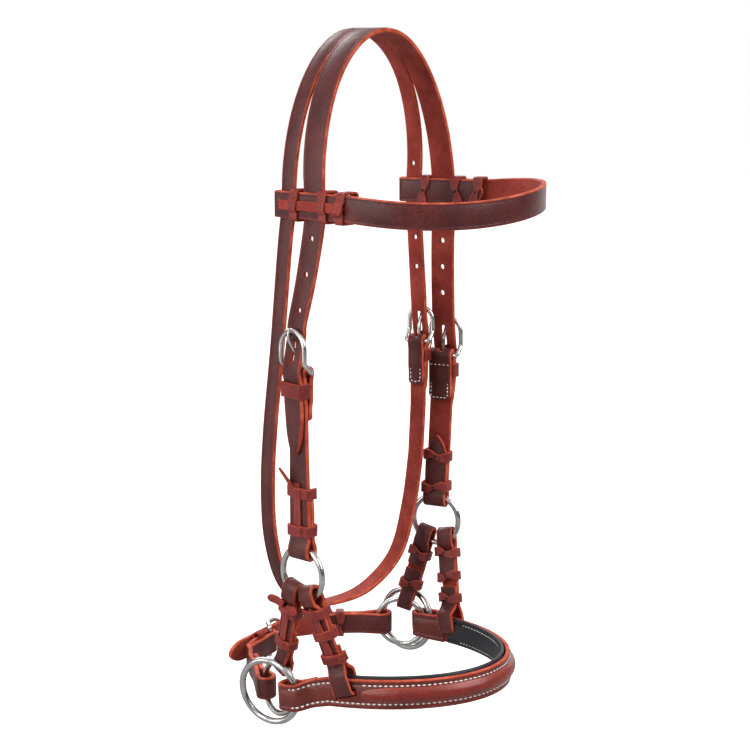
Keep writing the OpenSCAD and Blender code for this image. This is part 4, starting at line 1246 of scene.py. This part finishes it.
def throat():
    M = frame_at(THROAT_BAR, THROAT_TOE)
    P = hinge_end(-81.9, 0.12)
    P += through(thr, ((-81.9, HINGE_Y, HINGE_Z, 0.12), (-82.4, 18, -154, 0.14), (-83, 25, -225, 0.14),
                       (-83.5, 32, -287, 0.12), (-82, 36, -335, 0.1), (-76, 37.5, -376, 0.06),
                       (-60, 38, -412, 0), (-34, 37, -433, 0), (0, 34, -440.5, 0), (30, 24, -435, 0),
                       (57, 14, -412, 0), (72, 11, -374, -0.08), (76.5, 7.6, -332, -0.14)))
    P += through(throat_l, ((PLY, -52), (PLY, -27), (SEWN_PLY, -18), (SEWN_PLY, -7)))
    P += [throat_l(*p) for p in arc([0, 0], BAR_FOLD, -10, 190)]
    P += through(throat_l, ((-SEWN_PLY, -7), (-SEWN_PLY, -18), (-PLY, -26), (-PLY, -35)))
    P = thin(P)
    Piece().sweep(P, tapered(P, THROAT_W, start=THROAT_W / 2, tip=3), T, grain=-1,
                  creases=creased(THROAT_W, 2.0)).object(
        "throatlatch_leather", "throat_strap", STRAP, ["throatlatch"], "strap_leather",
        [cutter(M, TONGUE_SLOT)])
    seams = Piece()
    tab_stitches(seams, throat_l, THROAT_W, -8, -32.5, -PLY - T / 2 - 0.15, -M[:3, 0])
    seams.object("throatlatch_stitches", "throat_strap", [WHITE])
    Q = hinge_end(81.9, -0.12)
    Q += smooth([thr(81.9, HINGE_Y, HINGE_Z, -0.12), thr(81, 11.7, -157, -0.13), thr(79, 8.5, -186, -0.14)]
                + [throat_l(n, z) for n, z in
                   ((2.3, 32), (3, 24), (5.3, 13), (8.1, 0), (SEWN_PLY + T + 0.3, -8),
                    (SEWN_PLY + T + 0.3, -18), (PLY + T + 0.5, -29), (PLY + T + 0.5, -48))])
    Q = thin(Q)
    holes = [cutter(frame_at([80, y + 0.8, z]), punch(HOLE_D - 0.5)) for y, z in ((10.6, -158), (8.6, -181))]
    holes.append(tongue_hole(M, HOLE_D - 0.2))
    Piece().sweep(Q, tapered(Q, THROAT_W, start=THROAT_W / 2, tip=20), T,
                  creases=creased(THROAT_W, 2.0)).object(
        "throat_billet_leather", "throat_strap", STRAP, ["throat_billet"], "strap_leather", holes)
    buckle("throat_buckle", "throat_strap", M, 10, 26)
    tongue("throat_tongue", "throat_tongue_body", M, 26)
    keeper("throat_keeper", "throat_strap", M, THROAT_W, 9, SEWN_PLY + T * 1.5 + 0.6)


headpiece()
browband()
rings()
for s, side in SIDES.items():
    browband_lace(s)
    cheekpiece(s)
    cheek_lace(s)
    buckle(side + "_cheek_buckle", "head_straps", cheek_bar(s), 13.4, 30.4, s == 0)
    tongue(side + "_cheek_tongue", side + "_cheek_tongue_body", cheek_bar(s), 30.4, s == 0)
    keeper(side + "_cheek_keeper", "head_straps", cheek_bar(s), CHEEK_W, 11, SEWN_PLY + T * 1.5 + 0.6,
           s == 0)
link(0, True, [9.5, 28, 47])
link(1, True, [9.5, 29, 46.5])
link(0, False, [14, 43])
link(1, False, [13, 40])
noseband()
padding()
chin_strap()
throat()

# ---------- stage and light ----------
FLOOR_Z = cad_bounds[0][2] - 0.03
AIM = Vector((0, 0, -0.27))


def floor():
    """A pale floor that the camera sees as white."""
    bm = bmesh.new()
    bmesh.ops.create_circle(bm, cap_ends=True, segments=96, radius=6.0)
    mesh = bpy.data.meshes.new("floor")
    bm.to_mesh(mesh)
    bm.free()
    m, tree, b = new_material("pale_floor", 0.9, specular=0.1)
    b.inputs["Base Color"].default_value = (0.34, 0.34, 0.34, 1)
    b.inputs["Emission Color"].default_value = (1, 1, 1, 1)
    feed(node(tree, "LightPath"), "Is Camera Ray", b, "Emission Strength")
    mesh.materials.append(m)
    obj = add("floor", mesh)
    obj.location = (0, 0, FLOOR_Z)


def area_light(name, at, size, power):
    data = bpy.data.lights.new(name, "AREA")
    data.shape = "RECTANGLE"
    data.size, data.size_y = size
    data.energy = power
    obj = add(name, data)
    obj.visible_camera = False
    aim(obj, at, AIM - Vector(at))


def studio_world():
    """A room with a bright ceiling and dim walls; the camera sees the white backdrop beyond it."""
    world = bpy.data.worlds.new("studio")
    world.use_nodes = True
    tree = world.node_tree
    room = tree.nodes["Background"]
    coords = node(tree, "TexCoord")
    split = node(tree, "SeparateXYZ")
    feed(coords, "Generated", split, 0)
    height = node(tree, "MapRange", **{"From Min": -1.0})
    feed(split, "Z", height, "Value")
    tones = ramp(tree, [(0.0, (0.30, 0.30, 0.30)), (0.42, (0.10, 0.10, 0.10)),
                                   (0.60, (0.14, 0.14, 0.145)), (0.80, (0.85, 0.85, 0.86))])
    feed(height, "Result", tones, "Fac")
    feed(tones, "Color", room, "Color")
    backdrop = node(tree, "Background", Strength=1.0, Color=(1.0, 1.0, 1.0, 1))
    paths = node(tree, "LightPath")
    mix = node(tree, "MixShader")
    feed(paths, "Is Camera Ray", mix, "Fac")
    feed(room, 0, mix, 1)
    feed(backdrop, 0, mix, 2)
    feed(mix, 0, tree.nodes["World Output"], "Surface")
    scene.world = world


floor()
area_light("key", (0.2, -1.6, 0.9), (0.8, 1.1), 30)
area_light("fill", (-1.7, 0.2, 0.45), (0.45, 1.3), 20)
area_light("back", (0.9, 1.5, 0.7), (0.8, 1.1), 20)
area_light("far_card", (1.8, 0.55, -0.2), (2.0, 1.3), 12)
area_light("side_card", (-1.3, 1.1, -0.2), (0.9, 1.2), 9)
studio_world()
scene.view_settings.view_transform = "Standard"
